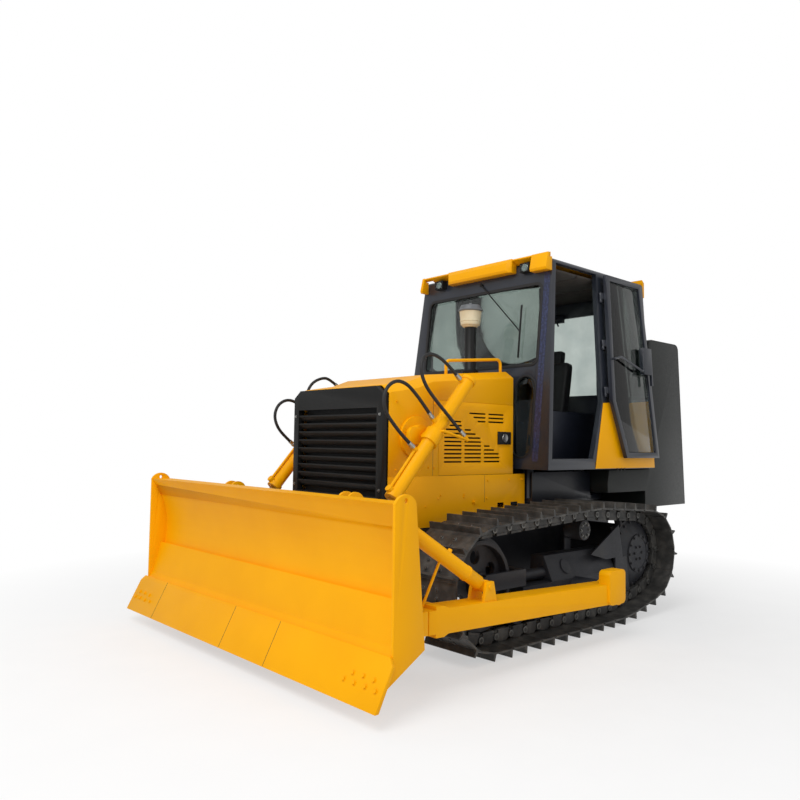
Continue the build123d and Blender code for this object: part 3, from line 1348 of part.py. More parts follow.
def latch_case():
    """Latch case on the door's inner face, its lever, and the grab bar across the pane."""
    x_low, x_high, z_low, z_high = LATCH_CASE
    inner = DOOR_STANDS_OUT - DOOR_THICKNESS
    case = on_side(side_box(x_low, x_high, z_low, z_high), inner - LATCH_CASE_DEPTH, inner + 1)
    case += on_side(side_box(x_high - LEVER, x_high, z_low - LEVER_LENGTH, z_low + 1), inner - LATCH_CASE_DEPTH, inner - LATCH_CASE_DEPTH / 2)
    out = inner - GRAB_BAR_OUT + GRAB_BAR_R
    (x0, z0), (x1, z1), (x2, z2) = GRAB_BAR
    case += rod_between(side_point(x0, z0, inner + 1), side_point(x0, z0, out), GRAB_BAR_R)
    for start, end in (((x0, z0), (x1, z1)), ((x1, z1), (x2, z2))):
        case += rod_between(side_point(*start, out), side_point(*end, out), GRAB_BAR_R)
    case += Pos(*side_point(x0, z0, out)) * Sphere(GRAB_BAR_R)
    return case + Pos(*side_point(x1, z1, out)) * Sphere(GRAB_BAR_R)


def shut_door():
    """Left door as it lies when shut: frame ring with its hinges and latch, and its pane."""
    ring = on_side(side_outline(DOOR_OUTLINE, MOVING_GAP), DOOR_STANDS_OUT - DOOR_THICKNESS, DOOR_STANDS_OUT)
    ring -= on_side(side_outline(DOOR_OUTLINE, MOVING_GAP + DOOR_FRAME), -100, 100)
    ring += latch_case()
    pane_face = side_outline(DOOR_OUTLINE, MOVING_GAP + DOOR_FRAME + GLASS_GAP)
    pane = on_side(pane_face, -DOOR_THICKNESS / 2, -DOOR_THICKNESS / 2 + GLASS)
    half = KNUCKLE_LENGTH / 2
    for z in HINGE_HEIGHTS:
        ring += on_side(side_box(HINGE_X, HINGE_X + HINGE_STRAP, z - half, z + half), 1, HINGE_OUT)
        low, high = side_point(HINGE_X, z - half, HINGE_OUT), side_point(HINGE_X, z + half, HINGE_OUT)
        ring += rod_between(low, high, KNUCKLE_R)
        past = side_point(HINGE_X, z - 2 * half, HINGE_OUT), side_point(HINGE_X, z + 2 * half, HINGE_OUT)
        ring -= rod_between(*past, HINGE_PIN_R + RUNNING_GAP)
    return ring, pane


HINGE_LINE = (0, -sin(SIDE_LEAN), cos(SIDE_LEAN))
HINGE_AXIS = Axis(origin=side_point(HINGE_X, CAB_FLOOR_Z, HINGE_OUT), direction=HINGE_LINE)


def side_panel(side):
    """Yellow cover on the lower rear of the cab's side."""
    foot = CAB_FLOOR_Z + SIDE_PANEL_RISE
    outline = (
        (DOOR_HEEL_X - 32, foot),
        (HINGE_X + 19, DOOR_WAIST_Z - 10),
        (CAB_REAR_TOP_X - 15, DOOR_WAIST_Z + 50),
        (CAB_REAR_BOTTOM_X, foot),
    )
    return mirrored(on_side(side_outline(outline), RUNNING_GAP, SIDE_PANEL), side)


def deck():
    """Plate under the cab with its four rubber mounts."""
    plate = block(DECK_REAR_X, DECK_FRONT_X, -DECK_HALF, DECK_HALF, DECK_Z, DECK_Z + DECK_THICKNESS)
    spine = HULL_HALF_WIDTH - DECK_SPINE_IN
    plate += block(DECK_SPINE_REAR_X, DECK_FRONT_X, -spine, spine, HULL_TOP_Z + RUNNING_GAP, DECK_Z + 1)
    for x in CAB_MOUNT_XS:
        for y in (-CAB_MOUNT_Y, CAB_MOUNT_Y):
            plate += upright(CAB_MOUNT_R, x, y, DECK_Z + 20, CAB_FLOOR_Z - RUNNING_GAP)
    apron_top = CAB_FLOOR_Z - 2 * TANK_CAB_GAP
    for apron in both_sides(block(APRON_REAR_X, DECK_FRONT_X, DECK_HALF - DECK_APRON, DECK_HALF, DECK_Z, apron_top)):
        plate += apron
    return plate


def tank_outline(wall):
    """Side outline of the tank and its forward tray, moved inwards by the wall."""
    track_top = CARRIER_PIN_Z + PIN_TO_SHOE + SHOE_THICKNESS + GROUSER_HEIGHT
    low = max(track_top + TANK_TRACK_GAP, DECK_Z + 1 + RUNNING_GAP)
    lip_in, lip_down = TANK_NOSE_CHAMFER
    top = CAB_FLOOR_Z - TANK_CAB_GAP
    points = (
        (TANK_REAR_BOTTOM_X, TANK_BOTTOM_Z),
        (TANK_REAR_TOP_X, TANK_TOP_Z),
        (TANK_FRONT_X, TANK_TOP_Z),
        (TANK_FRONT_X, top),
        (TANK_NOSE_X - lip_in, top),
        (TANK_NOSE_X, top - lip_down),
        (TANK_NOSE_X, low),
        (TANK_STEP_X, low),
        (TANK_STEP_X, TANK_BOTTOM_Z),
    )
    face = side_face(points)
    return offset(face, amount=-wall, kind=Kind.INTERSECTION) if wall else face


def rear_body():
    """Hollow fuel tank and rear cover that reaches forward under the cab, with its filler."""
    solids = []
    for wall in (0, TANK_WALL):
        half = TANK_HALF_WIDTH - wall
        body = Pos(0, -half, 0) * extrude(tank_outline(wall), amount=2 * half, dir=(0, 1, 0))
        upper = body.edges().filter_by(Axis.Y).sort_by(Axis.Z)[-2:]
        body = fillet(upper, TANK_TOP_R - wall)
        # Only the left part stands behind the rear window
        low_top = TANK_LOW_TOP_Z - wall
        past = TANK_HALF_WIDTH + 1
        step_y = TANK_STEP_Y + wall
        solids.append(body - block(-TANK_REACH, 0, -past, step_y, low_top, CAB_TOP_Z))
    tank = solids[0] - solids[1]
    return tank + upright(FILLER_R, FILLER_X, FILLER_Y, TANK_TOP_Z - 2, TANK_TOP_Z + FILLER_HEIGHT)


# Blade group
def moldboard():
    """Curved blade face with its closed backing beams and upright ribs."""
    half = BLADE_HALF_WIDTH - END_PLATE - RUNNING_GAP
    half_chord = (BLADE_TOP_Z - BLADE_FOOT_Z) / 2
    sag = MOLDBOARD_R - sqrt(MOLDBOARD_R**2 - half_chord**2)
    mid_z = (BLADE_TOP_Z + BLADE_FOOT_Z) / 2
    t = MOLDBOARD_THICKNESS
    front = ThreePointArc((BLADE_FACE_X, BLADE_TOP_Z), (BLADE_FACE_X - sag, mid_z), (BLADE_FACE_X, BLADE_FOOT_Z))
    back = ThreePointArc((BLADE_FACE_X - t, BLADE_FOOT_Z), (BLADE_FACE_X - sag - t, mid_z), (BLADE_FACE_X - t, BLADE_TOP_Z))
    outline = front + Line(front @ 1, back @ 0) + back + Line(back @ 1, front @ 0)
    face = make_face(Plane.XZ * outline)
    shell = Pos(0, -half, 0) * extrude(face, amount=2 * half, dir=(0, 1, 0))
    low_back = BLADE_FACE_X - END_DEPTH_BOTTOM
    beams = (
        ((BLADE_FACE_X - t, BLADE_TOP_Z), (BLADE_BACK_X, BLADE_TOP_Z), (BLADE_BACK_X, UPPER_BEAM_Z), (BLADE_FACE_X - 80, UPPER_BEAM_Z - 30)),
        ((BLADE_FACE_X - 100, LOWER_BEAM_Z + 50), (low_back, LOWER_BEAM_Z), (low_back, LOWER_BEAM_FOOT_Z), (BLADE_FACE_X - 30, LOWER_BEAM_FOOT_Z)),
    )
    for beam in beams:
        shell += slab(beam, -half, half)
    centre_x = BLADE_FACE_X - sag + MOLDBOARD_R
    heights = [LOWER_BEAM_Z - 2 + share * (UPPER_BEAM_Z - LOWER_BEAM_Z + 7) / 4 for share in range(5)]
    inside = [(centre_x - sqrt(MOLDBOARD_R**2 - (z - mid_z) ** 2) - t / 2, z) for z in heights]
    rib = inside + [(BLADE_BACK_X + 2, heights[-1]), (low_back + 2, heights[0])]
    lug_y = ROD_EYE_WIDTH / 2 + MOVING_GAP + LUG_PLATE / 2
    for y in (0, LIFT_Y - lug_y, LIFT_Y + lug_y, BLADE_HALF_WIDTH - OUTER_RIB_IN):
        for place in {y, -y}:
            shell += slab(rib, place - RIB / 2, place + RIB / 2)
    return shell


def edge_point(share, out):
    """Point along the cutting edge's back, from the blade's foot (0) to the tip (1)."""
    dx, dz = EDGE_BACK_TIP_X - BLADE_FACE_X, CUTTING_EDGE_TIP_Z - BLADE_FOOT_Z
    length = hypot(dx, dz)
    return BLADE_FACE_X + share * dx - out * dz / length, BLADE_FOOT_Z + share * dz + out * dx / length


def end_plate(side):
    """Plate at the blade's end, with a rounded ear on top and a foot along the cutting edge."""
    middle = (BLADE_FACE_X + BLADE_BACK_X) / 2
    ear = ThreePointArc((BLADE_BACK_X, BLADE_TOP_Z), (middle, BLADE_TOP_Z + END_EAR), (BLADE_FACE_X, BLADE_TOP_Z))
    rest = Polyline(
        (BLADE_FACE_X, BLADE_TOP_Z),
        edge_point(0, -RUNNING_GAP),
        edge_point(END_FOOT_SHARE, -RUNNING_GAP),
        (BLADE_FACE_X - END_DEPTH_BOTTOM, END_HEEL_Z),
        (BLADE_BACK_X, BLADE_TOP_Z),
    )
    inner = BLADE_HALF_WIDTH - END_PLATE
    plate = Pos(0, inner, 0) * extrude(make_face(Plane.XZ * (ear + rest)), amount=END_PLATE, dir=(0, 1, 0))
    plate -= across(END_HOLE_R, middle, BLADE_TOP_Z + END_HOLE_R, inner - 1, BLADE_HALF_WIDTH + 1)
    return mirrored(plate, side)


def cutting_edge():
    """Bolted edge across the foot of the blade, a little wider than the end plates."""
    half = BLADE_HALF_WIDTH + CUTTING_EDGE_OVERHANG
    thick = CUTTING_EDGE_THICKNESS
    points = (edge_point(0, 0), edge_point(0, thick), (CUTTING_EDGE_TIP_X, CUTTING_EDGE_TIP_Z), edge_point(1, 0))
    edge = slab(points, -half, half)
    # Upper outer corners cut off
    top_x, top_z = edge_point(0, thick / 2)
    side = CUTTING_EDGE_CORNER * sqrt(2)
    for y in (-half, half):
        edge -= Pos(top_x, y, top_z) * Rot(0, -EDGE_LEAN, 0) * Rot(45, 0, 0) * Box(6 * thick, side, side)
    return edge


def arm_z(x):
    """Height of the push arm's middle line."""
    return TRUNNION_Z + (x - TRUNNION_X) * tan(ARM_SLOPE)


def push_arm(side):
    """Box arm from the trunnion on the track frame to the foot of the blade."""
    end_x = BLADE_FACE_X - END_DEPTH_BOTTOM - RUNNING_GAP - ARM_BLADE_GAP
    head_x, jaw_x, head = ARM_HEAD
    # Columns: x, height of the arm there
    stations = ((TRUNNION_X, ARM_HEIGHT), (head_x, ARM_HEIGHT), (head_x + 40, head), (jaw_x, head), (jaw_x, ARM_JAW_HEIGHT), (end_x, ARM_JAW_HEIGHT))
    upper = [(x, arm_z(x) + height / 2) for x, height in stations]
    lower = [(x, arm_z(x) - height / 2) for x, height in reversed(stations)]
    arm = slab(upper + lower, ARM_INNER_Y, ARM_OUTER_Y)
    for x in ARM_GROOVES:
        for low in (ARM_INNER_Y - 1, ARM_OUTER_Y - ARM_GROOVE):
            arm -= block(x, x + ARM_GROOVE, low, low + ARM_GROOVE + 1, arm_z(x) - head, arm_z(x) + head)
    arm += across(ARM_HEIGHT / 2 + ARM_END, TRUNNION_X, TRUNNION_Z, ARM_INNER_Y, ARM_OUTER_Y)
    x_low, x_high, z_low, z_high = ARM_CAP
    cap = block(x_low, x_high, ARM_OUTER_Y + ARM_CAP_THICKNESS - ARM_CAP_WIDTH, ARM_OUTER_Y + ARM_CAP_THICKNESS, z_low, z_high)
    arm += fillet(cap.edges().filter_by(Axis.Y), ARM_CAP_CORNER_R)
    bore = TRUNNION_R + RUNNING_GAP
    arm -= across(bore, TRUNNION_X, TRUNNION_Z, ARM_INNER_Y - 1, ARM_OUTER_Y - ARM_CLOSED_WALL)
    top = BRACE_FOOT_Z + BRACE_LUG_TOP_HALF
    foot = BRACE_FOOT_Z - BRACE_LUG_FOOT
    lug = (
        (BRACE_FOOT_X - BRACE_LUG_HALF, foot),
        (BRACE_FOOT_X - BRACE_LUG_TOP_HALF, top),
        (BRACE_FOOT_X + BRACE_LUG_TOP_HALF, top),
        (BRACE_FOOT_X + BRACE_LUG_HALF, foot),
    )
    for y in (ARM_INNER_Y + BRACE_LUG / 2, ARM_OUTER_Y - 1.5 * BRACE_LUG):
        arm += slab(lug, y, y + BRACE_LUG)
    arm += across(BRACE_PIN_R, BRACE_FOOT_X, BRACE_FOOT_Z, ARM_INNER_Y + 4, ARM_OUTER_Y - 4)
    return mirrored(arm, side)


def brace(side):
    """Screw strut from the lug on the arm to the upper outer corner of the blade's back."""
    start = Vector(BRACE_FOOT_X, ARM_Y, BRACE_FOOT_Z)
    end = Vector(BLADE_BACK_X - BRACE_HEAD_BACK, ARM_Y, BRACE_HEAD_Z)
    along = (end - start).normalized()
    strut = rod_between(start, start + along * BRACE_COLLAR_AT, BRACE_EYE_NECK_R)
    strut += rod_between(start + along * BRACE_ROD_FROM, start + along * BRACE_COLLAR_AT, BRACE_ROD_R)
    strut += rod_between(start + along * (BRACE_COLLAR_AT - BRACE_COLLAR), start + along * (BRACE_COLLAR_AT + BRACE_COLLAR), BRACE_COLLAR_R)
    strut += rod_between(start + along * BRACE_COLLAR_AT, end, BRACE_TUBE_R)
    knob = start + along * BRACE_KNOB_AT
    square = Vector(-along.Z, 0, along.X)
    strut += rod_between(knob, knob + square * BRACE_KNOB, BRACE_KNOB_R)
    eye = 2 * BRACE_LUG - 3
    strut += across(BRACE_EYE_R, BRACE_FOOT_X, BRACE_FOOT_Z, ARM_Y - eye, ARM_Y + eye)
    strut -= across(BRACE_PIN_R + RUNNING_GAP, BRACE_FOOT_X, BRACE_FOOT_Z, ARM_Y - 2 * eye, ARM_Y + 2 * eye)
    # Bracket on the blade's back
    reach, half = BRACE_BRACKET
    face = BLADE_BACK_X - RUNNING_GAP
    bracket = (
        (face, BRACE_HEAD_Z + 55),
        (face - reach, BRACE_HEAD_Z + 30),
        (face - reach, BRACE_HEAD_Z - 40),
        (face, BRACE_HEAD_Z - 85),
    )
    strut += slab(bracket, ARM_Y - half, ARM_Y + half)
    # Thin retainer from the tube down to the arm's head
    tail_x = ARM_HEAD[1] + 40
    tail = Vector(tail_x, ARM_Y, arm_z(tail_x) + ARM_JAW_HEIGHT / 2 + RETAINER_R)
    strut += rod_between(start + along * (BRACE_KNOB_AT + 50), tail, RETAINER_R)
    return mirrored(strut, side)


# Lift cylinders, in the plane of each cylinder
LIFT_LENGTH = hypot(ROD_EYE_X - LIFT_PIVOT_X, ROD_EYE_Z - LIFT_PIVOT_Z)
LIFT_ALONG = ((ROD_EYE_X - LIFT_PIVOT_X) / LIFT_LENGTH, (ROD_EYE_Z - LIFT_PIVOT_Z) / LIFT_LENGTH)


def by_barrel(along, off=0.0, out=0.0):
    """Point down the left barrel from its trunnion, square off it, and outside its plane."""
    ux, uz = LIFT_ALONG
    x = LIFT_PIVOT_X + ux * along - uz * off
    z = LIFT_PIVOT_Z + uz * along + ux * off
    return x, LIFT_Y + out, z


def hose_stub(route, at, back):
    """Short steel fitting that ends on the hose's end face."""
    first, second = (route[0], route[1]) if at == 0 else (route[-1], route[-2])
    face = Vector(*by_barrel(*first))
    line = (face - Vector(*by_barrel(*second))).normalized()
    return rod_between(face + line * RUNNING_GAP, face + line * back, STUB_R)


def lift_barrel(side):
    """Barrel with its gland, trunnion collar, steel pipes and hose fittings."""
    tube = rod_between(by_barrel(-BARREL_UP), by_barrel(BARREL_DOWN), BARREL_R)
    tube += rod_between(by_barrel(BARREL_DOWN - BARREL_GLAND), by_barrel(BARREL_DOWN), BARREL_R + GLAND_RIM)
    tube += rod_between(by_barrel(-BARREL_UP), by_barrel(BARREL_CAP - BARREL_UP), BARREL_R + GLAND_RIM)
    tube += rod_between(by_barrel(-BARREL_COLLAR_HALF), by_barrel(BARREL_COLLAR_HALF), BARREL_R + BARREL_COLLAR)
    # Steel pipe down the barrel's upper front, with its boss near the gland
    tube += rod_between(by_barrel(SIDE_PIPE_FROM, SIDE_PIPE_OFF), by_barrel(SIDE_PIPE_TO, SIDE_PIPE_OFF), PIPE_BORE_R)
    tube += rod_between(by_barrel(SIDE_PIPE_TO, BARREL_R - 5), by_barrel(SIDE_PIPE_TO, SIDE_PIPE_OFF + 16), SIDE_BOSS_R)
    tube += hose_stub(LOWER_HOSE, 0, 50)
    tube += hose_stub(LOWER_HOSE, -1, 60)
    tube += hose_stub(UPPER_HOSE, -1, 45)
    # Supply pipe from the collar's outer side back to the upper hose
    hose_end = Vector(*by_barrel(*UPPER_HOSE[0]))
    line = (hose_end - Vector(*by_barrel(*UPPER_HOSE[1]))).normalized()
    elbow = hose_end + line * SUPPLY_ELBOW_BACK
    along, off = SUPPLY_AT
    out = UPPER_HOSE[0][2]
    corner = Vector(*by_barrel(along, off, out))
    tube += rod_between(hose_end + line * RUNNING_GAP, elbow, STUB_R)
    tube += Pos(*elbow) * Sphere(STUB_R) + Pos(*corner) * Sphere(PIPE_BORE_R)
    tube += rod_between(elbow, corner, PIPE_BORE_R)
    tube += rod_between(corner, by_barrel(along, off, BARREL_R - 5), PIPE_BORE_R)
    tube -= rod_between(by_barrel(BARREL_CAP - BARREL_UP), by_barrel(BARREL_DOWN - BARREL_GLAND), BARREL_BORE_R)
    tube -= rod_between(by_barrel(0), by_barrel(BARREL_DOWN + 10), ROD_R + RUNNING_GAP)
    tube += across(TRUNNION_PIN_R, LIFT_PIVOT_X, LIFT_PIVOT_Z, HOOD_HALF_WIDTH + TRUNNION_PIN_IN, LIFT_Y - BARREL_R + 4)
    return mirrored(tube, side)


def hose_line(places):
    """Straight runs joined by tangent arcs, each as large as its two runs allow."""
    pieces, start = [], places[0]
    for before, corner, after in zip(places, places[1:], places[2:]):
        back, ahead = before - corner, after - corner
        reach = HOSE_BEND_SHARE * min(back.length, ahead.length)
        near, far = corner + back.normalized() * reach, corner + ahead.normalized() * reach
        pieces.append(Line(start, near))
        pieces.append(TangentArc(near, far, tangent=-back.normalized()))
        start = far
    return Wire([*pieces, Line(start, places[-1])])


def lift_hose(route, side):
    """Hose that loops out from the barrel between two of its fittings."""
    path = hose_line([Vector(*by_barrel(*place)) for place in route])
    hose = sweep(Plane(origin=path @ 0, z_dir=path % 0) * Circle(HOSE_D / 2), path=path)
    return mirrored(hose, side)


def lift_mount(side):
    """Round flange and hub on the hood's side that carries the cylinder's trunnion."""
    face = LIFT_Y - BARREL_R - MOUNT_CLEAR
    base = HOOD_HALF_WIDTH + RUNNING_GAP
    mount = across(MOUNT_FLANGE_R, LIFT_PIVOT_X, LIFT_PIVOT_Z, base, HOOD_HALF_WIDTH + MOUNT_FLANGE)
    mount += across(MOUNT_HUB_R, LIFT_PIVOT_X, LIFT_PIVOT_Z, HOOD_HALF_WIDTH + MOUNT_FLANGE - 5, face - 30)
    x_low, x_high, z_low, z_high = MOUNT_CAP
    cap = block(x_low, x_high, face - 34, face, z_low, z_high)
    mount += fillet(cap.edges().filter_by(Axis.Y), MOUNT_CAP_R)
    bore = TRUNNION_PIN_R + RUNNING_GAP
    mount -= across(bore, LIFT_PIVOT_X, LIFT_PIVOT_Z, HOOD_HALF_WIDTH + TRUNNION_PIN_IN - 5, LIFT_Y)
    return mirrored(mount, side)


def lift_rod(side):
    """Piston rod and its eye between the blade's lugs."""
    rod = rod_between(by_barrel(ROD_START), by_barrel(LIFT_LENGTH - 20), ROD_R)
    rod += across(ROD_EYE_R, ROD_EYE_X, ROD_EYE_Z, LIFT_Y - ROD_EYE_WIDTH / 2, LIFT_Y + ROD_EYE_WIDTH / 2)
    return mirrored(rod, side)


def lift_lugs(side):
    """Pair of domed cheeks on the blade's ribs, one each side of the rod's eye."""
    back = BLADE_BACK_X - RUNNING_GAP
    low_back = BLADE_FACE_X - END_DEPTH_BOTTOM - RUNNING_GAP
    dome_x, dome_z, dome_r = LUG_DOME
    foot_z = LOWER_BEAM_Z + 60
    share = (foot_z - LOWER_BEAM_Z) / (UPPER_BEAM_Z - LOWER_BEAM_Z)
    dome = ThreePointArc((dome_x - dome_r, dome_z), (dome_x, dome_z + dome_r), (dome_x + dome_r, dome_z))
    rest = Polyline(
        (dome_x + dome_r, dome_z),
        (back, dome_z),
        (back, UPPER_BEAM_Z),
        (low_back + share * (back - low_back), foot_z),
        (ROD_EYE_X, foot_z - 40),
        (ROD_EYE_X - 62, foot_z - 20),
        (ROD_EYE_X - 62, ROD_EYE_Z + 150),
        (dome_x - dome_r, dome_z),
    )
    face = make_face(Plane.XZ * (dome + rest))
    gap = ROD_EYE_WIDTH / 2 + MOVING_GAP
    cheeks = []
    for low, head_low in ((LIFT_Y + gap, LIFT_Y + gap + LUG_PLATE - 1), (LIFT_Y - gap - LUG_PLATE, LIFT_Y - gap - LUG_PLATE - LUG_PIN_HEAD)):
        cheek = Pos(0, low, 0) * extrude(face, amount=LUG_PLATE, dir=(0, 1, 0))
        cheek += across(LUG_PIN_HEAD_R, ROD_EYE_X, ROD_EYE_Z, head_low, head_low + LUG_PIN_HEAD + 1)
        cheeks.append(mirrored(cheek, side))
    return cheeks


write("hull", hull())
write("engine_block", engine())
write("radiator_core", radiator_core())
write("radiator_guard", radiator_guard())
write("hood_cover", hood_cover())
write("cab_deck", deck())
write("cab_frame", cab_frame())
write("cab_floor", cab_floor())
write("seat", seat())
write("console", *console())
write("cross_bar", cross_bar())
write("rear_hitch", hitch())
write("intake_stack", intake_stack())
write("hood_rail", hood_rail())
write("cab_roof", cab_roof())
write("roof_lamps", *roof_lamps())
write("wiper", wiper())
write("cab_windows", windscreen(), *lower_windows(), *quarter_glass(), rear_glass())
write("rear_tank", rear_body())
write("moldboard", moldboard())
write("cutting_edge", cutting_edge())
write("vent_panels", *[vent_panel(sign) for _, sign in SIDES])
write("hood_latches", *[latch(sign) for _, sign in SIDES])
write("engine_skirts", *[skirt(sign) for _, sign in SIDES])
write("cab_side_panels", *[side_panel(sign) for _, sign in SIDES])
write("end_plates", *[end_plate(sign) for _, sign in SIDES])
write("lift_mounts", *[lift_mount(sign) for _, sign in SIDES])
write("lift_lugs", *[cheek for _, sign in SIDES for cheek in lift_lugs(sign)])
for word, sign in SIDES:
    lower_route, upper_route = HOSE_ROUTES[word]
    write(f"track_{word}", track(sign))
    write(f"sprocket_{word}", sprocket(sign))
    write(f"final_drive_{word}", final_drive(sign))
    write(f"idler_{word}", idler(sign))
    write(f"track_frame_{word}", track_frame(sign))
    write(f"track_rollers_{word}", *rollers(sign))
    write(f"push_arm_{word}", push_arm(sign))
    write(f"brace_{word}", brace(sign))
    write(f"lift_barrel_{word}", lift_barrel(sign))
    write(f"lift_rod_{word}", lift_rod(sign))
    write(f"lift_hose_lower_{word}", lift_hose(lower_route, sign))
    write(f"lift_hose_upper_{word}", lift_hose(upper_route, sign))
    frame_ring, pane = shut_door()
    if sign > 0:
        frame_ring = frame_ring.rotate(HINGE_AXIS, DOOR_SWING)
        pane = pane.rotate(HINGE_AXIS, DOOR_SWING)
    write(f"door_{word}", mirrored(frame_ring, sign))
    write(f"door_glass_{word}", mirrored(pane, sign))
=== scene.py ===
"""Crawler bulldozer dressed on its fixed frame: paint, tracks, bolts, hoses, glass, cab trim."""

import json
from math import acos, atan2, cos, hypot, pi, radians, sin

import bmesh
import bpy
from mathutils import Matrix, Vector


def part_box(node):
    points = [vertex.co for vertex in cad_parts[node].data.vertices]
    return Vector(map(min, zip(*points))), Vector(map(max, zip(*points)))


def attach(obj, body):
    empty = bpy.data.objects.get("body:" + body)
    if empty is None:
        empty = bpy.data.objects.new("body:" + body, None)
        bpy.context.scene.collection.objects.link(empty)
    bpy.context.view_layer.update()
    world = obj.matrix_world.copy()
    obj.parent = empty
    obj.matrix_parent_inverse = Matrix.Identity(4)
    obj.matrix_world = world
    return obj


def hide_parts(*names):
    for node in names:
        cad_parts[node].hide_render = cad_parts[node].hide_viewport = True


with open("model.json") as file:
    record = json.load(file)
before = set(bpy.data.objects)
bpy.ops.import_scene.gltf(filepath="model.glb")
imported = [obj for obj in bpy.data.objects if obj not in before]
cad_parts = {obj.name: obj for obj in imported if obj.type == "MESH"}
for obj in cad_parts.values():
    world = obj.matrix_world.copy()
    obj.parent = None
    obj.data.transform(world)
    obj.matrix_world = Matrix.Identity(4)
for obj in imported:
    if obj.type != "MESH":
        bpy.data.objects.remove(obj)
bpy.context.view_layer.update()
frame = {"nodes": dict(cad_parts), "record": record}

MM = 0.001
SIDES = (("left", 1), ("right", -1))
BODY_OF = {
    node: body for body, nodes in frame["record"]["behaviour"]["bodies"].items() for node in nodes
}

# Driving sizes repeated from the part, in millimetres
TRACK_GAUGE = 1880
SHOE_WIDTH = 500
SHOE_THICKNESS = 14
GROUSER_HEIGHT = 50
PIN_TO_SHOE = 50
PIN_TO_RAIL = 50
RAIL_GAP = 90
RAIL_WIDTH = 40
TRACK_PITCH = 171
SPROCKET = (-1175, 555, 344)
IDLER = (1005, 504, 390)
CARRIER = (-325, 957)
TRACK_RISE_X = -760
GROUND_PIN_Z = 114
CAB_FLOOR_Z = 1330
CAB_HEIGHT = 1870
LIFT_PIVOT = (1270, 760, 1585)
ROD_EYE = (2060, 690)
HOSE_D = 26
# Columns: distance from the middle and down the cutting edge of its left bolts
EDGE_BOLTS = ((1534, 140), (1442, 138), (1352, 141), (1574, 190), (1484, 188), (1390, 190), (1297, 188))
EDGE_SEAMS = (-1150, -50, 520)


# Building blocks ------------------------------------------------------------------------


def add_node(tree, kind, inputs=None, stops=None, **settings):
    """Add a node; inputs hold values or (node, output) links, stops the tones of a ramp."""
    node = tree.nodes.new(kind)
    for key, value in settings.items():
        setattr(node, key, value)
    for key, value in (inputs or {}).items():
        if isinstance(value, tuple) and isinstance(value[0], bpy.types.Node):
            tree.links.new(value[0].outputs[value[1]], node.inputs[key])
        else:
            node.inputs[key].default_value = value
    if stops:
        ramp = node.color_ramp.elements
        while len(ramp) < len(stops):
            ramp.new(0.5)
        for element, (place, tone) in zip(ramp, stops):
            element.position = place
            element.color = tone
    return node


def linear(hex_tone):
    """sRGB hex to the linear RGBA that shaders take."""
    parts = [int(hex_tone[i : i + 2], 16) / 255 for i in (1, 3, 5)]
    return (*[c / 12.92 if c <= 0.04045 else ((c + 0.055) / 1.055) ** 2.4 for c in parts], 1.0)


def grey(value):
    return value, value, value, 1.0


def new_finish(name):
    """Empty material with its shader and the Object coordinates that its patterns read."""
    finish = bpy.data.materials.new(name)
    finish.use_nodes = True
    tree = finish.node_tree
    return finish, tree, tree.nodes["Principled BSDF"], add_node(tree, "ShaderNodeTexCoord")


def wire(tree, node, output, shader, socket):
    tree.links.new(node.outputs[output], shader.inputs[socket])


def surface(name, tones, patch_mm, rough, grit_mm, relief_mm, metallic=0.0, coat=0.0, shine=0.5):
    """Finish whose tone drifts in patches and whose grit gives roughness and relief."""
    finish, tree, shader, place = new_finish(name)
    drift = add_node(
        tree, "ShaderNodeTexNoise",
        {"Vector": (place, "Object"), "Scale": 1000 / patch_mm, "Detail": 4.0},
    )
    stops = [(0.3 + 0.4 * i / (len(tones) - 1), linear(tone)) for i, tone in enumerate(tones)]
    tone = add_node(tree, "ShaderNodeValToRGB", {"Fac": (drift, "Fac")}, stops=stops)
    wire(tree, tone, "Color", shader, "Base Color")
    grit = add_node(
        tree, "ShaderNodeTexNoise",
        {"Vector": (place, "Object"), "Scale": 1000 / grit_mm, "Detail": 2.0},
    )
    low, high = rough
    span = [(0.3, grey(low)), (0.7, grey(high))]
    gloss = add_node(tree, "ShaderNodeValToRGB", {"Fac": (grit, "Fac")}, stops=span)
    wire(tree, gloss, "Color", shader, "Roughness")
    relief = add_node(
        tree, "ShaderNodeBump", {"Height": (grit, "Fac"), "Strength": 0.6, "Distance": relief_mm * MM}
    )
    wire(tree, relief, "Normal", shader, "Normal")
    shader.inputs["Metallic"].default_value = metallic
    shader.inputs["Coat Weight"].default_value = coat
    shader.inputs["Coat Roughness"].default_value = 0.12
    if not metallic:
        shader.inputs["Specular IOR Level"].default_value = shine
    return finish


# Sprayed machine enamel over sheet and plate: even tone, faint orange peel, clear gloss
YELLOW = surface(
    "yellow_machine_enamel", ("#EFA600", "#F4AC00"), 600, (0.34, 0.44), 7, 0.10, coat=0.03,
    shine=0.14,
)
# The same enamel brushed over thick plate, a little duller
PLATE_YELLOW = surface(
    "yellow_enamel_on_plate", ("#F0A700", "#F6AE00"), 420, (0.4, 0.54), 9, 0.16, coat=0.02,
    shine=0.12,
)
# Satin charcoal enamel on the frames, dusty in patches
CHARCOAL = surface(
    "charcoal_satin_enamel", ("#1C1D21", "#25262B", "#2E2E2F"), 260, (0.42, 0.60), 8, 0.2,
    shine=0.35,
)
# Blue-black enamel of the cab's pressed frame
CAB_BLACK = surface("blue_black_cab_enamel", ("#1E222B", "#262A34"), 380, (0.28, 0.42), 7, 0.08, coat=0.3)
# Black enamel on the tank and the radiator guard
BLACK = surface("black_enamel", ("#0F1010", "#171717"), 420, (0.4, 0.54), 8, 0.12, shine=0.25)
# Dark grey-green enamel of the rear tank
TANK_GREY = surface(
    "grey_green_tank_enamel", ("#141716", "#1D201E"), 420, (0.36, 0.5), 8, 0.12, coat=0.03,
    shine=0.3,
)
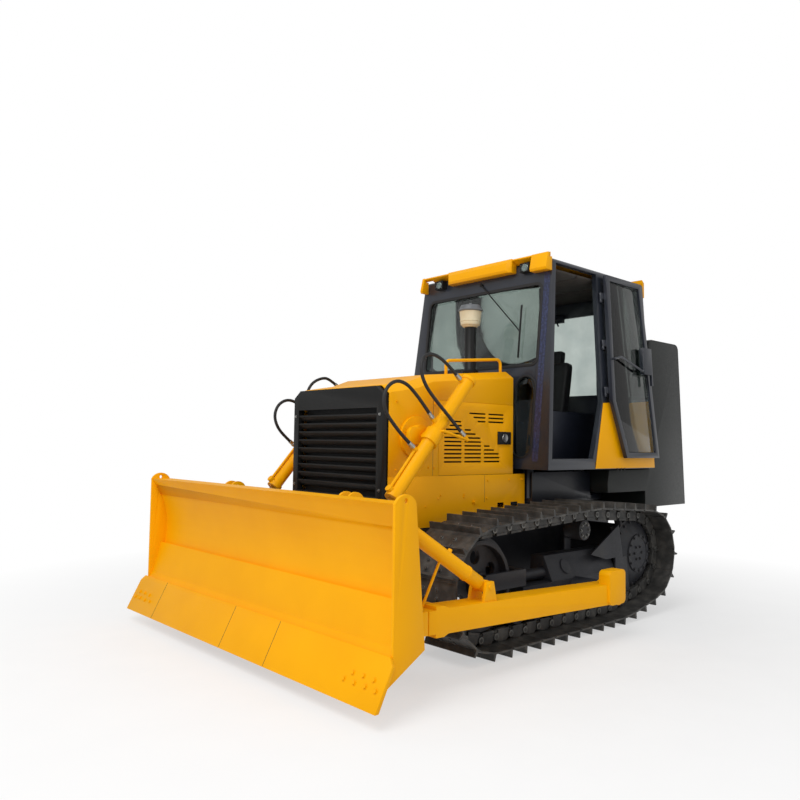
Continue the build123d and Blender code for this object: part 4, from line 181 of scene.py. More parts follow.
# Painted cast steel wheels and rollers, with a coarse sand-cast skin
CAST = surface("painted_cast_steel", ("#1A1A1C", "#262527", "#333134"), 120, (0.45, 0.68), 5, 0.5, shine=0.35)
# Forged track shoes and links: bare dark steel rubbed brown-grey by soil
FORGED = surface(
    "forged_track_steel", ("#2A2A29", "#3C3B39", "#54524E"), 90, (0.42, 0.66), 6, 0.5,
    metallic=0.2,
)
# Navy-black enamel as on the recoil housings, the tank's rim and the side console; here it goes only on the
# cab deck, darkened there as painted shade under the cab
NAVY_WITH_PAINTED_SHADE = surface("navy_black_enamel_with_painted_shade", ("#0C0E16", "#141824"), 300, (0.36, 0.5), 8, 0.14, coat=0.1)
# Dark red-brown primer on what lies behind the vent slots
PRIMER = surface("red_brown_primer", ("#1E0F0A", "#2C1710"), 90, (0.6, 0.8), 5, 0.2)
# Blue protective film still on the windscreen pillar
FILM = surface("blue_protective_film", ("#161A2C", "#232A49", "#39426B"), 14, (0.25, 0.5), 6, 0.3, coat=0.15)
# Grey enamel on sills and trim strips
TRIM = surface("grey_trim_enamel", ("#5B5E61", "#6D7073"), 200, (0.34, 0.5), 4, 0.08)
# Zinc-plated fittings and bright bolts
ZINC = surface("zinc_plated_steel", ("#9A9B9A", "#B4B4B0"), 40, (0.28, 0.42), 2, 0.05, metallic=1.0)
# The same plating on the shoe bolts, dulled by soil
DULL_ZINC = surface("dulled_zinc_plate", ("#5E5D5A", "#7C7B77"), 40, (0.4, 0.6), 2, 0.1, metallic=0.8)
# Hard chrome on the cylinder rods
CHROME = surface("hard_chrome", ("#C9CBCD", "#D6D7D8"), 200, (0.08, 0.14), 3, 0.01, metallic=1.0)
# Sleeved rubber hose, dull with a fine grain
RUBBER = surface("hose_rubber", ("#111112", "#1B1B1C"), 60, (0.52, 0.7), 3, 0.12)
# Extruded window rubber
SEAL = surface("window_seal_rubber", ("#0F0F10", "#161617"), 80, (0.5, 0.62), 3, 0.05)
# Cream moulded plastic of the pre-cleaner
CREAM = surface("cream_moulded_plastic", ("#CFC4A4", "#DBD1B4"), 90, (0.38, 0.5), 3, 0.05)
# Grained vinyl of the seat
VINYL = surface("black_grained_vinyl", ("#18181A", "#222225"), 120, (0.5, 0.64), 2.5, 0.35)
# Moulded console plastic, blue-black like the cab
PLASTIC = surface("blue_black_moulded_plastic", ("#171B26", "#1F2431"), 200, (0.42, 0.55), 2, 0.12)
# Headliner felt
FELT = surface("brown_grey_felt", ("#3E3935", "#4C4640"), 60, (0.8, 0.92), 2, 0.3)
# Silvered reflector
SILVER = surface("silvered_reflector", ("#D8DADC", "#E6E7E8"), 60, (0.1, 0.2), 8, 0.05, metallic=1.0)
# Dry dull steel of the core behind the slats
CORE = surface("radiator_core_fins", ("#0E0E0F", "#161617"), 50, (0.6, 0.75), 4, 0.4)


def cab_glass():
    """Greyish-green toughened glass, with a faint film that softens its gloss in patches."""
    finish, tree, shader, place = new_finish("toughened_cab_glass")
    film_inputs = {"Vector": (place, "Object"), "Scale": 1000 / 240, "Detail": 5.0}
    film = add_node(tree, "ShaderNodeTexNoise", film_inputs)
    gloss = add_node(
        tree, "ShaderNodeValToRGB", {"Fac": (film, "Fac")}, stops=[(0.35, grey(0.0)), (0.75, grey(0.05))]
    )
    wire(tree, gloss, "Color", shader, "Roughness")
    tint = add_node(
        tree, "ShaderNodeValToRGB", {"Fac": (film, "Fac")},
        stops=[(0.3, linear("#A9B4B0")), (0.7, linear("#B9C2BD"))],
    )
    wire(tree, tint, "Color", shader, "Base Color")
    shader.inputs["Transmission Weight"].default_value = 1.0
    shader.inputs["IOR"].default_value = 1.5
    return finish


GLASS = cab_glass()


def smooth(mesh, angle=32):
    mesh.shade_smooth()
    mesh.set_sharp_from_angle(angle=radians(angle))


def new_piece(name, mesh, finishes, body, replaces=()):
    """Object for a finished mesh, riding on its body and standing for its nodes."""
    piece = bpy.data.objects.new(name, mesh)
    bpy.context.scene.collection.objects.link(piece)
    if not isinstance(finishes, (list, tuple)):
        finishes = [finishes]
    if not mesh.materials:
        for finish in finishes:
            mesh.materials.append(finish)
    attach(piece, body)
    if replaces:
        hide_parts(*replaces)
    return piece


def baked(piece):
    """Mesh of an object with its modifiers worked out."""
    graph = bpy.context.evaluated_depsgraph_get()
    return bpy.data.meshes.new_from_object(piece.evaluated_get(graph))


def bevelled(mesh, width_mm, angle=28, segments=2):
    """Copy of a mesh whose sharp edges are rounded."""
    draft = bpy.data.objects.new("draft", mesh)
    bpy.context.scene.collection.objects.link(draft)
    edge = draft.modifiers.new("edges", "BEVEL")
    edge.width = width_mm * MM
    edge.segments = segments
    edge.limit_method = "ANGLE"
    edge.angle_limit = radians(angle)
    edge.use_clamp_overlap = True
    result = baked(draft)
    bpy.data.objects.remove(draft)
    smooth(result)
    return result


def merged(mesh, flat):
    """Copy of a node's loose triangles joined, and where flat is true run into flat faces."""
    shell = bmesh.new()
    shell.from_mesh(mesh)
    bmesh.ops.remove_doubles(shell, verts=shell.verts, dist=0.02 * MM)
    if flat:
        bmesh.ops.dissolve_limit(shell, angle_limit=radians(0.6), verts=shell.verts, edges=shell.edges)
    result = bpy.data.meshes.new("merged")
    shell.to_mesh(result)
    shell.free()
    return result


def skin_area(mesh):
    mesh.calc_loop_triangles()
    return sum(triangle.area for triangle in mesh.loop_triangles)


def dress(node, finish, width_mm=2.0, segments=2):
    """Piece that stands for a node: edges rounded wherever that keeps its skin whole."""
    source = frame["nodes"][node].data
    joined = merged(source, True)
    mesh = bevelled(joined, width_mm, segments=segments)
    if not 0.9 < skin_area(mesh) / skin_area(source) < 1.003:
        mesh = merged(source, False)
        smooth(mesh)
    return new_piece(f"{node}_skin", mesh, finish, BODY_OF[node], [node])


class Shape:
    """Mesh drawn from simple solids, in millimetres, with a finish number for each."""

    def __init__(self):
        self.shell = bmesh.new()

    def tag(self, before, finish):
        """Give every face made since the count was before its finish number."""
        for face in list(self.shell.faces)[before:]:
            face.material_index = finish

    def prism(self, outline, low, high, axis="Y", finish=0):
        """Outline of points pulled from low to high along an axis."""
        before = len(self.shell.faces)
        rings = []
        for level in (low, high):
            ring = []
            for a, b in outline:
                place = {"X": (level, a, b), "Y": (a, level, b), "Z": (a, b, level)}[axis]
                ring.append(self.shell.verts.new(Vector(place) * MM))
            rings.append(ring)
        count = len(outline)
        made = [self.shell.faces.new(rings[0]), self.shell.faces.new(rings[1])]
        for k in range(count):
            n = (k + 1) % count
            made.append(self.shell.faces.new((rings[0][k], rings[0][n], rings[1][n], rings[1][k])))
        bmesh.ops.recalc_face_normals(self.shell, faces=made)
        self.tag(before, finish)

    def box(self, low, high, finish=0):
        (x0, y0, z0), (x1, y1, z1) = low, high
        self.prism(((x0, z0), (x1, z0), (x1, z1), (x0, z1)), y0, y1, "Y", finish)

    def lathe(self, profile, centre, axis="Y", steps=32, finish=0):
        """Closed profile of (radius, level) turned round an axis through the centre."""
        before = len(self.shell.faces)
        rings = []
        for radius, level in profile:
            ring = []
            for k in range(steps if radius > 0.01 else 1):
                a = 2 * pi * k / steps
                u, v = radius * cos(a), radius * sin(a)
                offset = {"X": (level, u, v), "Y": (u, level, v), "Z": (u, v, level)}[axis]
                ring.append(self.shell.verts.new((Vector(centre) + Vector(offset)) * MM))
            rings.append(ring)
        made = []
        for one, two in zip(rings, rings[1:]):
            for k in range(steps):
                n = (k + 1) % steps
                if len(one) == 1:
                    made.append(self.shell.faces.new((one[0], two[k], two[n])))
                elif len(two) == 1:
                    made.append(self.shell.faces.new((one[k], one[n], two[0])))
                else:
                    made.append(self.shell.faces.new((one[k], one[n], two[n], two[k])))
        bmesh.ops.recalc_face_normals(self.shell, faces=made)
        self.tag(before, finish)

    def band(self, outer, inner, low, high, place, finish=0):
        """Frame between two outlines of as many points, laid in a plane by a matrix."""
        before = len(self.shell.faces)
        rings = [
            [self.shell.verts.new(place @ (Vector((a, b, level)) * MM)) for a, b in outline]
            for outline, level in ((outer, low), (outer, high), (inner, high), (inner, low))
        ]
        count = len(outer)
        made = []
        for one, two in zip(rings, rings[1:] + rings[:1]):
            for k in range(count):
                n = (k + 1) % count
                made.append(self.shell.faces.new((one[k], one[n], two[n], two[k])))
        bmesh.ops.recalc_face_normals(self.shell, faces=made)
        self.tag(before, finish)

    def rod(self, start, end, radius, steps=12, finish=0):
        """Round bar between two points."""
        before = len(self.shell.faces)
        a, b = Vector(start), Vector(end)
        turn = (b - a).to_track_quat("Z", "Y").to_matrix().to_4x4()
        bmesh.ops.create_cone(
            self.shell, cap_ends=True, segments=steps, radius1=radius * MM, radius2=radius * MM,
            depth=(b - a).length * MM, matrix=Matrix.Translation((a + b) / 2 * MM) @ turn,
        )
        self.tag(before, finish)

    def hull(self, points, finish=0):
        """Convex block round a few points."""
        before = len(self.shell.faces)
        verts = [self.shell.verts.new(Vector(point) * MM) for point in points]
        bmesh.ops.convex_hull(self.shell, input=verts)
        self.tag(before, finish)

    def mesh(self, *finishes):
        result = bpy.data.meshes.new("shape")
        self.shell.to_mesh(result)
        self.shell.free()
        for finish in finishes:
            result.materials.append(finish)
        return result


def flipped(mesh):
    """Mirror image of a left-hand mesh for the right."""
    shell = bmesh.new()
    shell.from_mesh(mesh)
    bmesh.ops.scale(shell, vec=(1, -1, 1), verts=shell.verts)
    bmesh.ops.reverse_faces(shell, faces=shell.faces)
    result = bpy.data.meshes.new(mesh.name)
    shell.to_mesh(result)
    shell.free()
    for finish in mesh.materials:
        result.materials.append(finish)
    return result


# Camera, floor and light ----------------------------------------------------------------

CAMERA_PLACE = (5.135, 4.638, 1.534)
CAMERA_HEADING = 227.602
CAMERA_RISE = 3.401
CAMERA_ROLL = 0.849
CAMERA_LENS = 33.155


def add_camera():
    heading, rise, roll = radians(CAMERA_HEADING), radians(CAMERA_RISE), radians(CAMERA_ROLL)
    ahead = Vector((cos(heading) * cos(rise), sin(heading) * cos(rise), sin(rise)))
    right = ahead.cross(Vector((0, 0, 1))).normalized()
    up = right.cross(ahead)
    rolled_right = right * cos(roll) + up * sin(roll)
    rolled_up = up * cos(roll) - right * sin(roll)
    lens = bpy.data.cameras.new("photo_camera")
    lens.lens = CAMERA_LENS
    lens.sensor_width = 36
    lens.clip_end = 200
    camera = bpy.data.objects.new("photo_camera", lens)
    turn = Matrix((rolled_right, rolled_up, -ahead)).transposed().to_4x4()
    camera.matrix_world = Matrix.Translation(CAMERA_PLACE) @ turn
    bpy.context.scene.collection.objects.link(camera)
    bpy.context.scene.camera = camera


def add_floor():
    """Pale floor that keeps the machine's shadow and fades to the white of the sky."""
    shape = Shape()
    half = 40000
    shape.box((-half, -half, -60), (half, half, -0.5))
    finish, tree, shader, place = new_finish("pale_studio_floor")
    mesh = shape.mesh(finish)
    floor = bpy.data.objects.new("studio_floor", mesh)
    bpy.context.scene.collection.objects.link(floor)
    grain = add_node(tree, "ShaderNodeTexNoise", {"Vector": (place, "Object"), "Scale": 3.0, "Detail": 3.0})
    tone = add_node(
        tree, "ShaderNodeValToRGB", {"Fac": (grain, "Fac")}, stops=[(0.3, grey(0.80)), (0.7, grey(0.83))]
    )
    wire(tree, tone, "Color", shader, "Base Color")
    shader.inputs["Roughness"].default_value = 0.9
    path = add_node(tree, "ShaderNodeLightPath")
    eye = add_node(
        tree, "ShaderNodeMath",
        {0: (path, "Is Camera Ray"), 1: (path, "Is Glossy Ray")}, operation="MAXIMUM",
    )
    seen = add_node(
        tree, "ShaderNodeMath", {0: (eye, "Value"), 1: (path, "Is Transmission Ray")}, operation="MAXIMUM"
    )
    # The floor turns to plain white with distance from the machine, so no horizon shows
    distance = add_node(tree, "ShaderNodeVectorMath", {0: (place, "Object")}, operation="LENGTH")
    fade = add_node(
        tree, "ShaderNodeMapRange",
        {"Value": (distance, "Value"), "From Min": 2.0, "From Max": 5.5, "To Min": 0.5, "To Max": 1.0},
    )
    share = add_node(tree, "ShaderNodeMath", {0: (seen, "Value"), 1: (fade, "Result")}, operation="MULTIPLY")
    glow = add_node(tree, "ShaderNodeEmission", {"Color": grey(1.0), "Strength": 1.0})
    mix = add_node(
        tree, "ShaderNodeMixShader", {"Fac": (share, "Value"), 1: (shader, "BSDF"), 2: (glow, "Emission")}
    )
    output = tree.nodes["Material Output"]
    tree.links.new(mix.outputs["Shader"], output.inputs["Surface"])


SKY_LIGHT = 0.6


def add_light():
    """Even white sky, white to the eye, and two wide soft boxes."""
    world = bpy.data.worlds.new("studio_sky")
    bpy.context.scene.world = world
    world.use_nodes = True
    tree = world.node_tree
    tree.nodes.clear()
    path = add_node(tree, "ShaderNodeLightPath")
    seen = add_node(
        tree, "ShaderNodeMath",
        {0: (path, "Is Camera Ray"), 1: (path, "Is Transmission Ray")}, operation="MAXIMUM",
    )
    strength = add_node(
        tree, "ShaderNodeMapRange", {"Value": (seen, "Value"), "To Min": SKY_LIGHT, "To Max": 1.0}
    )
    sky = add_node(tree, "ShaderNodeBackground", {"Color": grey(1.0), "Strength": (strength, "Result")})
    output = add_node(tree, "ShaderNodeOutputWorld")
    tree.links.new(sky.outputs["Background"], output.inputs["Surface"])
    # Columns: name, place in metres, size in metres, watts
    boxes = (
        ("key_softbox", (6.5, 2.5, 7.5), 5.0, 430),
        ("side_softbox", (-1.5, 8.0, 5.0), 4.0, 45),
    )
    for name, place, size, watts in boxes:
        lamp = bpy.data.lights.new(name, "AREA")
        lamp.size = size
        lamp.energy = watts
        box = bpy.data.objects.new(name, lamp)
        aim = (Vector((0.2, 0, 1.0)) - Vector(place)).to_track_quat("-Z", "Y")
        box.matrix_world = Matrix.Translation(place) @ aim.to_matrix().to_4x4()
        bpy.context.scene.collection.objects.link(box)


# Fasteners ------------------------------------------------------------------------------


def named_tree(name, sockets):
    """Geometry tree with its named inputs, as (tree, group input, group output)."""
    tree = bpy.data.node_groups.new(name, "GeometryNodeTree")
    tree.interface.new_socket("Geometry", in_out="INPUT", socket_type="NodeSocketGeometry")
    for label, kind in sockets:
        tree.interface.new_socket(label, in_out="INPUT", socket_type=kind)
    tree.interface.new_socket("Geometry", in_out="OUTPUT", socket_type="NodeSocketGeometry")
    return tree, add_node(tree, "NodeGroupInput"), add_node(tree, "NodeGroupOutput")


def bolt_tree():
    """Hexagon head on a washer, standing on each point along the point's axis."""
    sockets = (
        ("Head radius", "NodeSocketFloat"),
        ("Head height", "NodeSocketFloat"),
        ("Washer radius", "NodeSocketFloat"),
        ("Finish", "NodeSocketMaterial"),
    )
    tree, given, result = named_tree("bolt_heads", sockets)
    head = add_node(
        tree, "GeometryNodeMeshCone",
        {"Vertices": 6, "Radius Top": (given, "Head radius"), "Radius Bottom": (given, "Head radius"),
         "Depth": (given, "Head height")},
    )
    washer_inputs = {0: (given, "Head height"), 1: 0.25}
    washer_height = add_node(tree, "ShaderNodeMath", washer_inputs, operation="MULTIPLY")
    washer = add_node(
        tree, "GeometryNodeMeshCone",
        {"Vertices": 16, "Radius Top": (given, "Washer radius"), "Radius Bottom": (given, "Washer radius"),
         "Depth": (washer_height, "Value")},
    )
    bolt = add_node(tree, "GeometryNodeJoinGeometry")
    tree.links.new(head.outputs["Mesh"], bolt.inputs["Geometry"])
    tree.links.new(washer.outputs["Mesh"], bolt.inputs["Geometry"])
    axis = add_node(tree, "GeometryNodeInputNamedAttribute", {"Name": "axis"}, data_type="FLOAT_VECTOR")
    turn = add_node(tree, "FunctionNodeAlignRotationToVector", {"Vector": (axis, "Attribute")}, axis="Z")
    stand = add_node(
        tree, "GeometryNodeInstanceOnPoints",
        {"Points": (given, "Geometry"), "Instance": (bolt, "Geometry"), "Rotation": (turn, "Rotation")},
    )
    real = add_node(tree, "GeometryNodeRealizeInstances", {"Geometry": (stand, "Instances")})
    done = add_node(
        tree, "GeometryNodeSetMaterial", {"Geometry": (real, "Geometry"), "Material": (given, "Finish")}
    )
    tree.links.new(done.outputs["Geometry"], result.inputs["Geometry"])
    return tree


BOLTS = bolt_tree()


def grown(tree, places, vectors, values):
    """Plain mesh of what a tree grows on points that carry named vectors."""
    cloud = bpy.data.meshes.new("points")
    cloud.from_pydata([Vector(place) * MM for place in places], [], [])
    for label, arrows in vectors.items():
        data = cloud.attributes.new(label, "FLOAT_VECTOR", "POINT")
        for item, arrow in zip(data.data, arrows):
            item.vector = arrow
    draft = bpy.data.objects.new("draft", cloud)
    bpy.context.scene.collection.objects.link(draft)
    grow = draft.modifiers.new("grow", "NODES")
    grow.node_group = tree
    for socket in tree.interface.items_tree:
        if socket.in_out == "INPUT" and socket.name in values:
            grow[socket.identifier] = values[socket.name]
    mesh = baked(draft)
    bpy.data.objects.remove(draft)
    return mesh


def add_bolts(name, places, body, head_mm, finish, height_mm=None, washer=1.45):
    """Bolt heads on (place, axis) pairs of one body, as one piece."""
    values = {
        "Head radius": head_mm * MM,
        "Head height": (height_mm or 1.3 * head_mm) * MM,
        "Washer radius": washer * head_mm * MM,
        "Finish": finish,
    }
    mesh = grown(BOLTS, [p for p, _ in places], {"axis": [a for _, a in places]}, values)
    mesh.shade_flat()
    return new_piece(name, mesh, finish, body)


def both(places):
    """Left-hand (place, axis) pairs and their mirror images."""
    return list(places) + [((x, -y, z), (a, -b, c)) for (x, y, z), (a, b, c) in places]


def ring(centre, radius, count, axis, phase=0.0):
    """Places on a circle about an axis along Y or X."""
    pairs = []
    for k in range(count):
        angle = phase + 2 * pi * k / count
        u, v = radius * cos(angle), radius * sin(angle)
        x, y, z = centre
        pairs.append((((x + u, y, z + v) if axis[1] else (x, y + u, z + v)), axis))
    return pairs


# Tracks ---------------------------------------------------------------------------------


def track_middles():
    """Middle of each link and its outward direction, from the pins' path round the loop."""
    (sx, sz, sr), (ix, iz, ir) = SPROCKET, IDLER
    cx, cz = CARRIER
    front = atan2(cz - iz, cx - ix) - acos(ir / hypot(cx - ix, cz - iz))
    rear = atan2(cz - sz, cx - sx) + acos(sr / hypot(cx - sx, cz - sz))
    dx, dz = TRACK_RISE_X - sx, GROUND_PIN_Z - sz
    low = (atan2(dz, dx) - acos(sr / hypot(dx, dz))) % (2 * pi)
    rise = (TRACK_RISE_X, GROUND_PIN_Z)
    parts = [
        ("arc", (ix, iz), ir, -pi / 2, front),
        ("line", (ix + ir * cos(front), iz + ir * sin(front)), CARRIER),
        ("line", CARRIER, (sx + sr * cos(rear), sz + sr * sin(rear))),
        ("arc", (sx, sz), sr, rear, low),
        ("line", (sx + sr * cos(low), sz + sr * sin(low)), rise),
        ("line", rise, (ix, GROUND_PIN_Z)),
    ]
    lengths = [
        p[2] * (p[4] - p[3]) if p[0] == "arc" else hypot(p[2][0] - p[1][0], p[2][1] - p[1][1])
        for p in parts
    ]
    count = round(sum(lengths) / TRACK_PITCH)
    pins = []
    for index in range(count):
        along = index * sum(lengths) / count
        for part, length in zip(parts, lengths):
            if along <= length:
                break
            along -= length
        if part[0] == "arc":
            angle = part[3] + along / part[2]
            pins.append((part[1][0] + part[2] * cos(angle), part[1][1] + part[2] * sin(angle)))
        else:
            share = along / length
            pins.append(tuple(a + share * (b - a) for a, b in zip(part[1], part[2])))
    middles, outs = [], []
    for (x0, z0), (x1, z1) in zip(pins, pins[1:] + pins[:1]):
        length = hypot(x1 - x0, z1 - z0)
        middles.append(((x0 + x1) / 2, 0, (z0 + z1) / 2))
        outs.append(((z1 - z0) / length, 0, -(x1 - x0) / length))
    return middles, outs


def link_mesh():
    """One shoe with its grouser, pair of links, bushing and bolts; X along, Z outwards."""
    shape = Shape()
    half = TRACK_PITCH / 2
    low, top = PIN_TO_SHOE, PIN_TO_SHOE + SHOE_THICKNESS
    edge = SHOE_WIDTH / 2
    shoe = (
        (-half - 10, low - 3), (-half - 14, low + 5), (-half + 12, top), (half - 33, top),
        (half - 22, top + GROUSER_HEIGHT), (half - 9, top + GROUSER_HEIGHT), (half - 5, top),
        (half + 6, low + 10), (half + 14, low - 1), (half + 8, low - 8), (half - 22, low),
    )
    shape.prism(shoe, -edge, edge)
    inner, outer = RAIL_GAP / 2, RAIL_GAP / 2 + RAIL_WIDTH
    rail = -PIN_TO_RAIL
    lobe = [(0, -26), (-18, -19), (-26, 0), (-18, 20), (0, 28)]
    body = (
        [(x - half, z) for x, z in lobe[1:]] + [(-half + 26, low + 1), (half - 40, low + 1), (half - 22, 30)]
        + [(half + 17, 19), (half + 25, 0), (half + 17, -20), (half - 12, rail + 10), (half - 26, rail)]
        + [(-half + 26, rail), (-half + 8, rail + 14)]
    )
    slim = [(x * 0.8, z * 0.82 + 4) for x, z in body]
    for side in (-1, 1):
        low_y, high_y = sorted((side * inner, side * (outer - 13)))
        shape.prism(body, low_y, high_y)
        low_y, high_y = sorted((side * (outer - 14), side * (outer - 3)))
        shape.prism(slim, low_y, high_y)
        low_y, high_y = sorted((side * (outer - 14), side * outer))
        rail_end = [(-half + 20, rail), (half - 20, rail), (half - 26, rail + 20), (-half + 26, rail + 20)]
        shape.prism(rail_end, low_y, high_y)
        shape.rod((-half, side * (outer - 14), 0), (-half, side * (outer + 6), 0), 27, 16)
        shape.rod((-half, side * (outer + 5), 0), (-half, side * (outer + 8), 0), 15, 12)
        for x in (-half + 46, half - 62):
            shape.rod((x, side * 66, top - 2), (x, side * 66, top + 12), 13, 6, 1)
            shape.rod((x, side * 66, top - 2), (x, side * 66, top + 3), 18, 12, 1)
    shape.rod((-half, -inner - 2, 0), (-half, inner + 2, 0), 31, 16)
    return shape.mesh(FORGED, ZINC)


def track_tree():
    """The link object stood on every middle, turned to the loop's outward direction."""
    sockets = (
        ("Link", "NodeSocketObject"), ("Bright", "NodeSocketMaterial"), ("Finish", "NodeSocketMaterial"),
    )
    tree, given, result = named_tree("track_chain", sockets)
    link = add_node(tree, "GeometryNodeObjectInfo", {"Object": (given, "Link")})
    out = add_node(tree, "GeometryNodeInputNamedAttribute", {"Name": "out"}, data_type="FLOAT_VECTOR")
    turn = add_node(
        tree, "FunctionNodeAlignRotationToVector", {"Vector": (out, "Attribute")}, axis="Z", pivot_axis="Y"
    )
    stand = add_node(
        tree, "GeometryNodeInstanceOnPoints",
        {"Points": (given, "Geometry"), "Instance": (link, "Geometry"), "Rotation": (turn, "Rotation")},
    )
    real = add_node(tree, "GeometryNodeRealizeInstances", {"Geometry": (stand, "Instances")})
    slot = add_node(tree, "GeometryNodeInputMaterialIndex")
    steel = add_node(
        tree, "FunctionNodeCompare", {"A": (slot, "Material Index")}, data_type="INT", operation="EQUAL"
    )
    forged = add_node(
        tree, "GeometryNodeSetMaterial",
        {"Geometry": (real, "Geometry"), "Selection": (steel, "Result"), "Material": (given, "Finish")},
    )
    bolts = add_node(tree, "FunctionNodeBooleanMath", {0: (steel, "Result")}, operation="NOT")
    done = add_node(
        tree, "GeometryNodeSetMaterial",
        {"Geometry": (forged, "Geometry"), "Selection": (bolts, "Boolean"), "Material": (given, "Bright")},
    )
    tree.links.new(done.outputs["Geometry"], result.inputs["Geometry"])
    return tree


def add_tracks():
    draft = bpy.data.objects.new("link", bevelled(link_mesh(), 1.5, segments=1))
    bpy.context.scene.collection.objects.link(draft)
    tree = track_tree()
    middles, outs = track_middles()
    for word, side in SIDES:
        places = [(x, side * TRACK_GAUGE / 2, z) for x, _, z in middles]
        mesh = grown(tree, places, {"out": outs}, {"Link": draft, "Finish": FORGED, "Bright": DULL_ZINC})
        smooth(mesh)
        new_piece(f"track_chain_{word}", mesh, FORGED, "root", [f"track_{word}"])
    bpy.data.objects.remove(draft)


# Dressed nodes --------------------------------------------------------------------------


def add_dressed_nodes():
    """Every rigid node with its edges rounded and its own finish."""
    # Columns: nodes, finish, edge radius in millimetres
    table = (
        (("hull", "cross_bar", "rear_hitch"), CHARCOAL, 4),
        # The cab deck's navy enamel is darker than its own paint: painted shade under the cab
        (("cab_deck",), NAVY_WITH_PAINTED_SHADE, 4),
        (("final_drive_left", "final_drive_right"), CHARCOAL, 3),
        (("track_frame_left", "track_frame_right"), CHARCOAL, 3),
        (("idler_left", "idler_right", "sprocket_left", "sprocket_right"), CAST, 2.5),
        (("track_rollers_left", "track_rollers_right"), CAST, 3),
        (("hood_cover", "engine_skirts", "cab_side_panels"), YELLOW, 1.5),
        (("vent_panels",), YELLOW, 0.8),
        (("cab_roof",), YELLOW, 7),
        (("moldboard", "end_plates", "cutting_edge"), PLATE_YELLOW, 2.5),
        (("push_arm_left", "push_arm_right", "brace_left", "brace_right"), PLATE_YELLOW, 4),
        (("lift_barrel_left", "lift_barrel_right", "lift_mounts", "lift_lugs"), PLATE_YELLOW, 2.5),
        (("lift_rod_left", "lift_rod_right"), CHROME, 1.5),
        (("radiator_guard",), BLACK, 2),
        (("radiator_core",), CORE, 3),
        (("engine_block",), PRIMER, 3),
        (("rear_tank",), TANK_GREY, 4),
        (("cab_frame", "door_left", "door_right"), CAB_BLACK, 3),
        (("cab_floor",), CHARCOAL, 2),
        (("console",), PLASTIC, 8),
        (("hood_latches", "wiper"), BLACK, 1.5),
        (("hood_rail",), YELLOW, 0.5),
        (("cab_windows", "door_glass_left", "door_glass_right"), GLASS, 0.6),
    )
    for nodes, finish, width in table:
        for node in nodes:
            dress(node, finish, width)


# Hoses ----------------------------------------------------------------------------------


def by_barrel(along, off, out):
    """Point down the left barrel from its trunnion, square off it, and outside its plane."""
    px, py, pz = LIFT_PIVOT
    length = hypot(ROD_EYE[0] - px, ROD_EYE[1] - pz)
    ux, uz = (ROD_EYE[0] - px) / length, (ROD_EYE[1] - pz) / length
    return Vector((px + ux * along - uz * off, py + out, pz + uz * along + ux * off))


# Routes of the hoses, left then right: along the barrel, square off it, outside its plane
HOSES = (
    ("lower", "left", (
        (180, 100, 0), (190, 215, 0), (188, 330, 0), (180, 446, 0), (128, 535, 0), (32, 570, 0),
        (-64, 535, 0), (-116, 446, 0), (-124, 330, 0), (-120, 215, 0), (-111, 100, 0),
    )),
    ("upper", "left", (
        (-186, -176, 82), (-186, -50, 79), (-184, 80, 75), (-182, 210, 70), (-190, 340, 64), (-240, 446, 54),
        (-338, 492, 38), (-436, 448, 22), (-498, 345, 10), (-525, 215, 4), (-538, 86, 0),
    )),
    ("lower", "right", (
        (180, 100, 0), (190, 215, 0), (182, 326, 0), (130, 415, 0), (34, 450, 0),
        (-62, 415, 0), (-114, 326, 0), (-120, 215, 0), (-111, 100, 0),
    )),
    ("upper", "right", (
        (-186, -176, 82), (-186, -50, 79), (-186, 85, 71), (-212, 200, 60), (-280, 285, 46),
        (-375, 310, 32), (-470, 275, 16), (-525, 215, 4), (-538, 86, 0),
    )),
)


def add_hoses():
    """Two looped pressure hoses on each lift cylinder, with crimped ends."""
    for level, word, route in HOSES:
        side = 1 if word == "left" else -1
        points = [by_barrel(*place) * MM for place in route]
        points = [Vector((p.x, side * p.y, p.z)) for p in points]
        line = bpy.data.curves.new(f"hose_{level}_{word}", "CURVE")
        line.dimensions = "3D"
        line.bevel_depth = HOSE_D / 2 * MM
        line.bevel_resolution = 5
        line.resolution_u = 16
        line.use_fill_caps = True
        spline = line.splines.new("NURBS")
        spline.points.add(len(points) - 1)
        for item, point in zip(spline.points, points):
            item.co = (*point, 1)
        spline.order_u = 3
        spline.use_endpoint_u = True
        line.materials.append(RUBBER)
        hose = bpy.data.objects.new(f"hose_{level}_{word}", line)
        bpy.context.scene.collection.objects.link(hose)
        body = f"lift_barrel_{word}"
        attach(hose, body)
        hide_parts(f"lift_hose_{level}_{word}")
        crimps = Shape()
        for end, ahead in ((points[0], points[1]), (points[-1], points[-2])):
            way = (ahead - end).normalized()
            start = end / MM
            crimps.rod(start - way * 2, start + way * 46, HOSE_D / 2 + 4, 20)
            crimps.rod(start - way * 8, start + way * 12, HOSE_D / 2 + 8, 6)
        ends = new_piece(f"hose_ends_{level}_{word}", bevelled(crimps.mesh(), 1, segments=1), ZINC, body)
        length = sum((b - a).length for a, b in zip(curve_points(hose), curve_points(hose)[1:]))


def curve_points(piece):
    """Points along a curve's middle line."""
    depth = piece.data.bevel_depth
    piece.data.bevel_depth = 0
    graph = bpy.context.evaluated_depsgraph_get()
    line = bpy.data.meshes.new_from_object(piece.evaluated_get(graph))
    piece.data.bevel_depth = depth
    return [vertex.co.copy() for vertex in line.vertices]


# Air intake, lamps and seat -------------------------------------------------------------


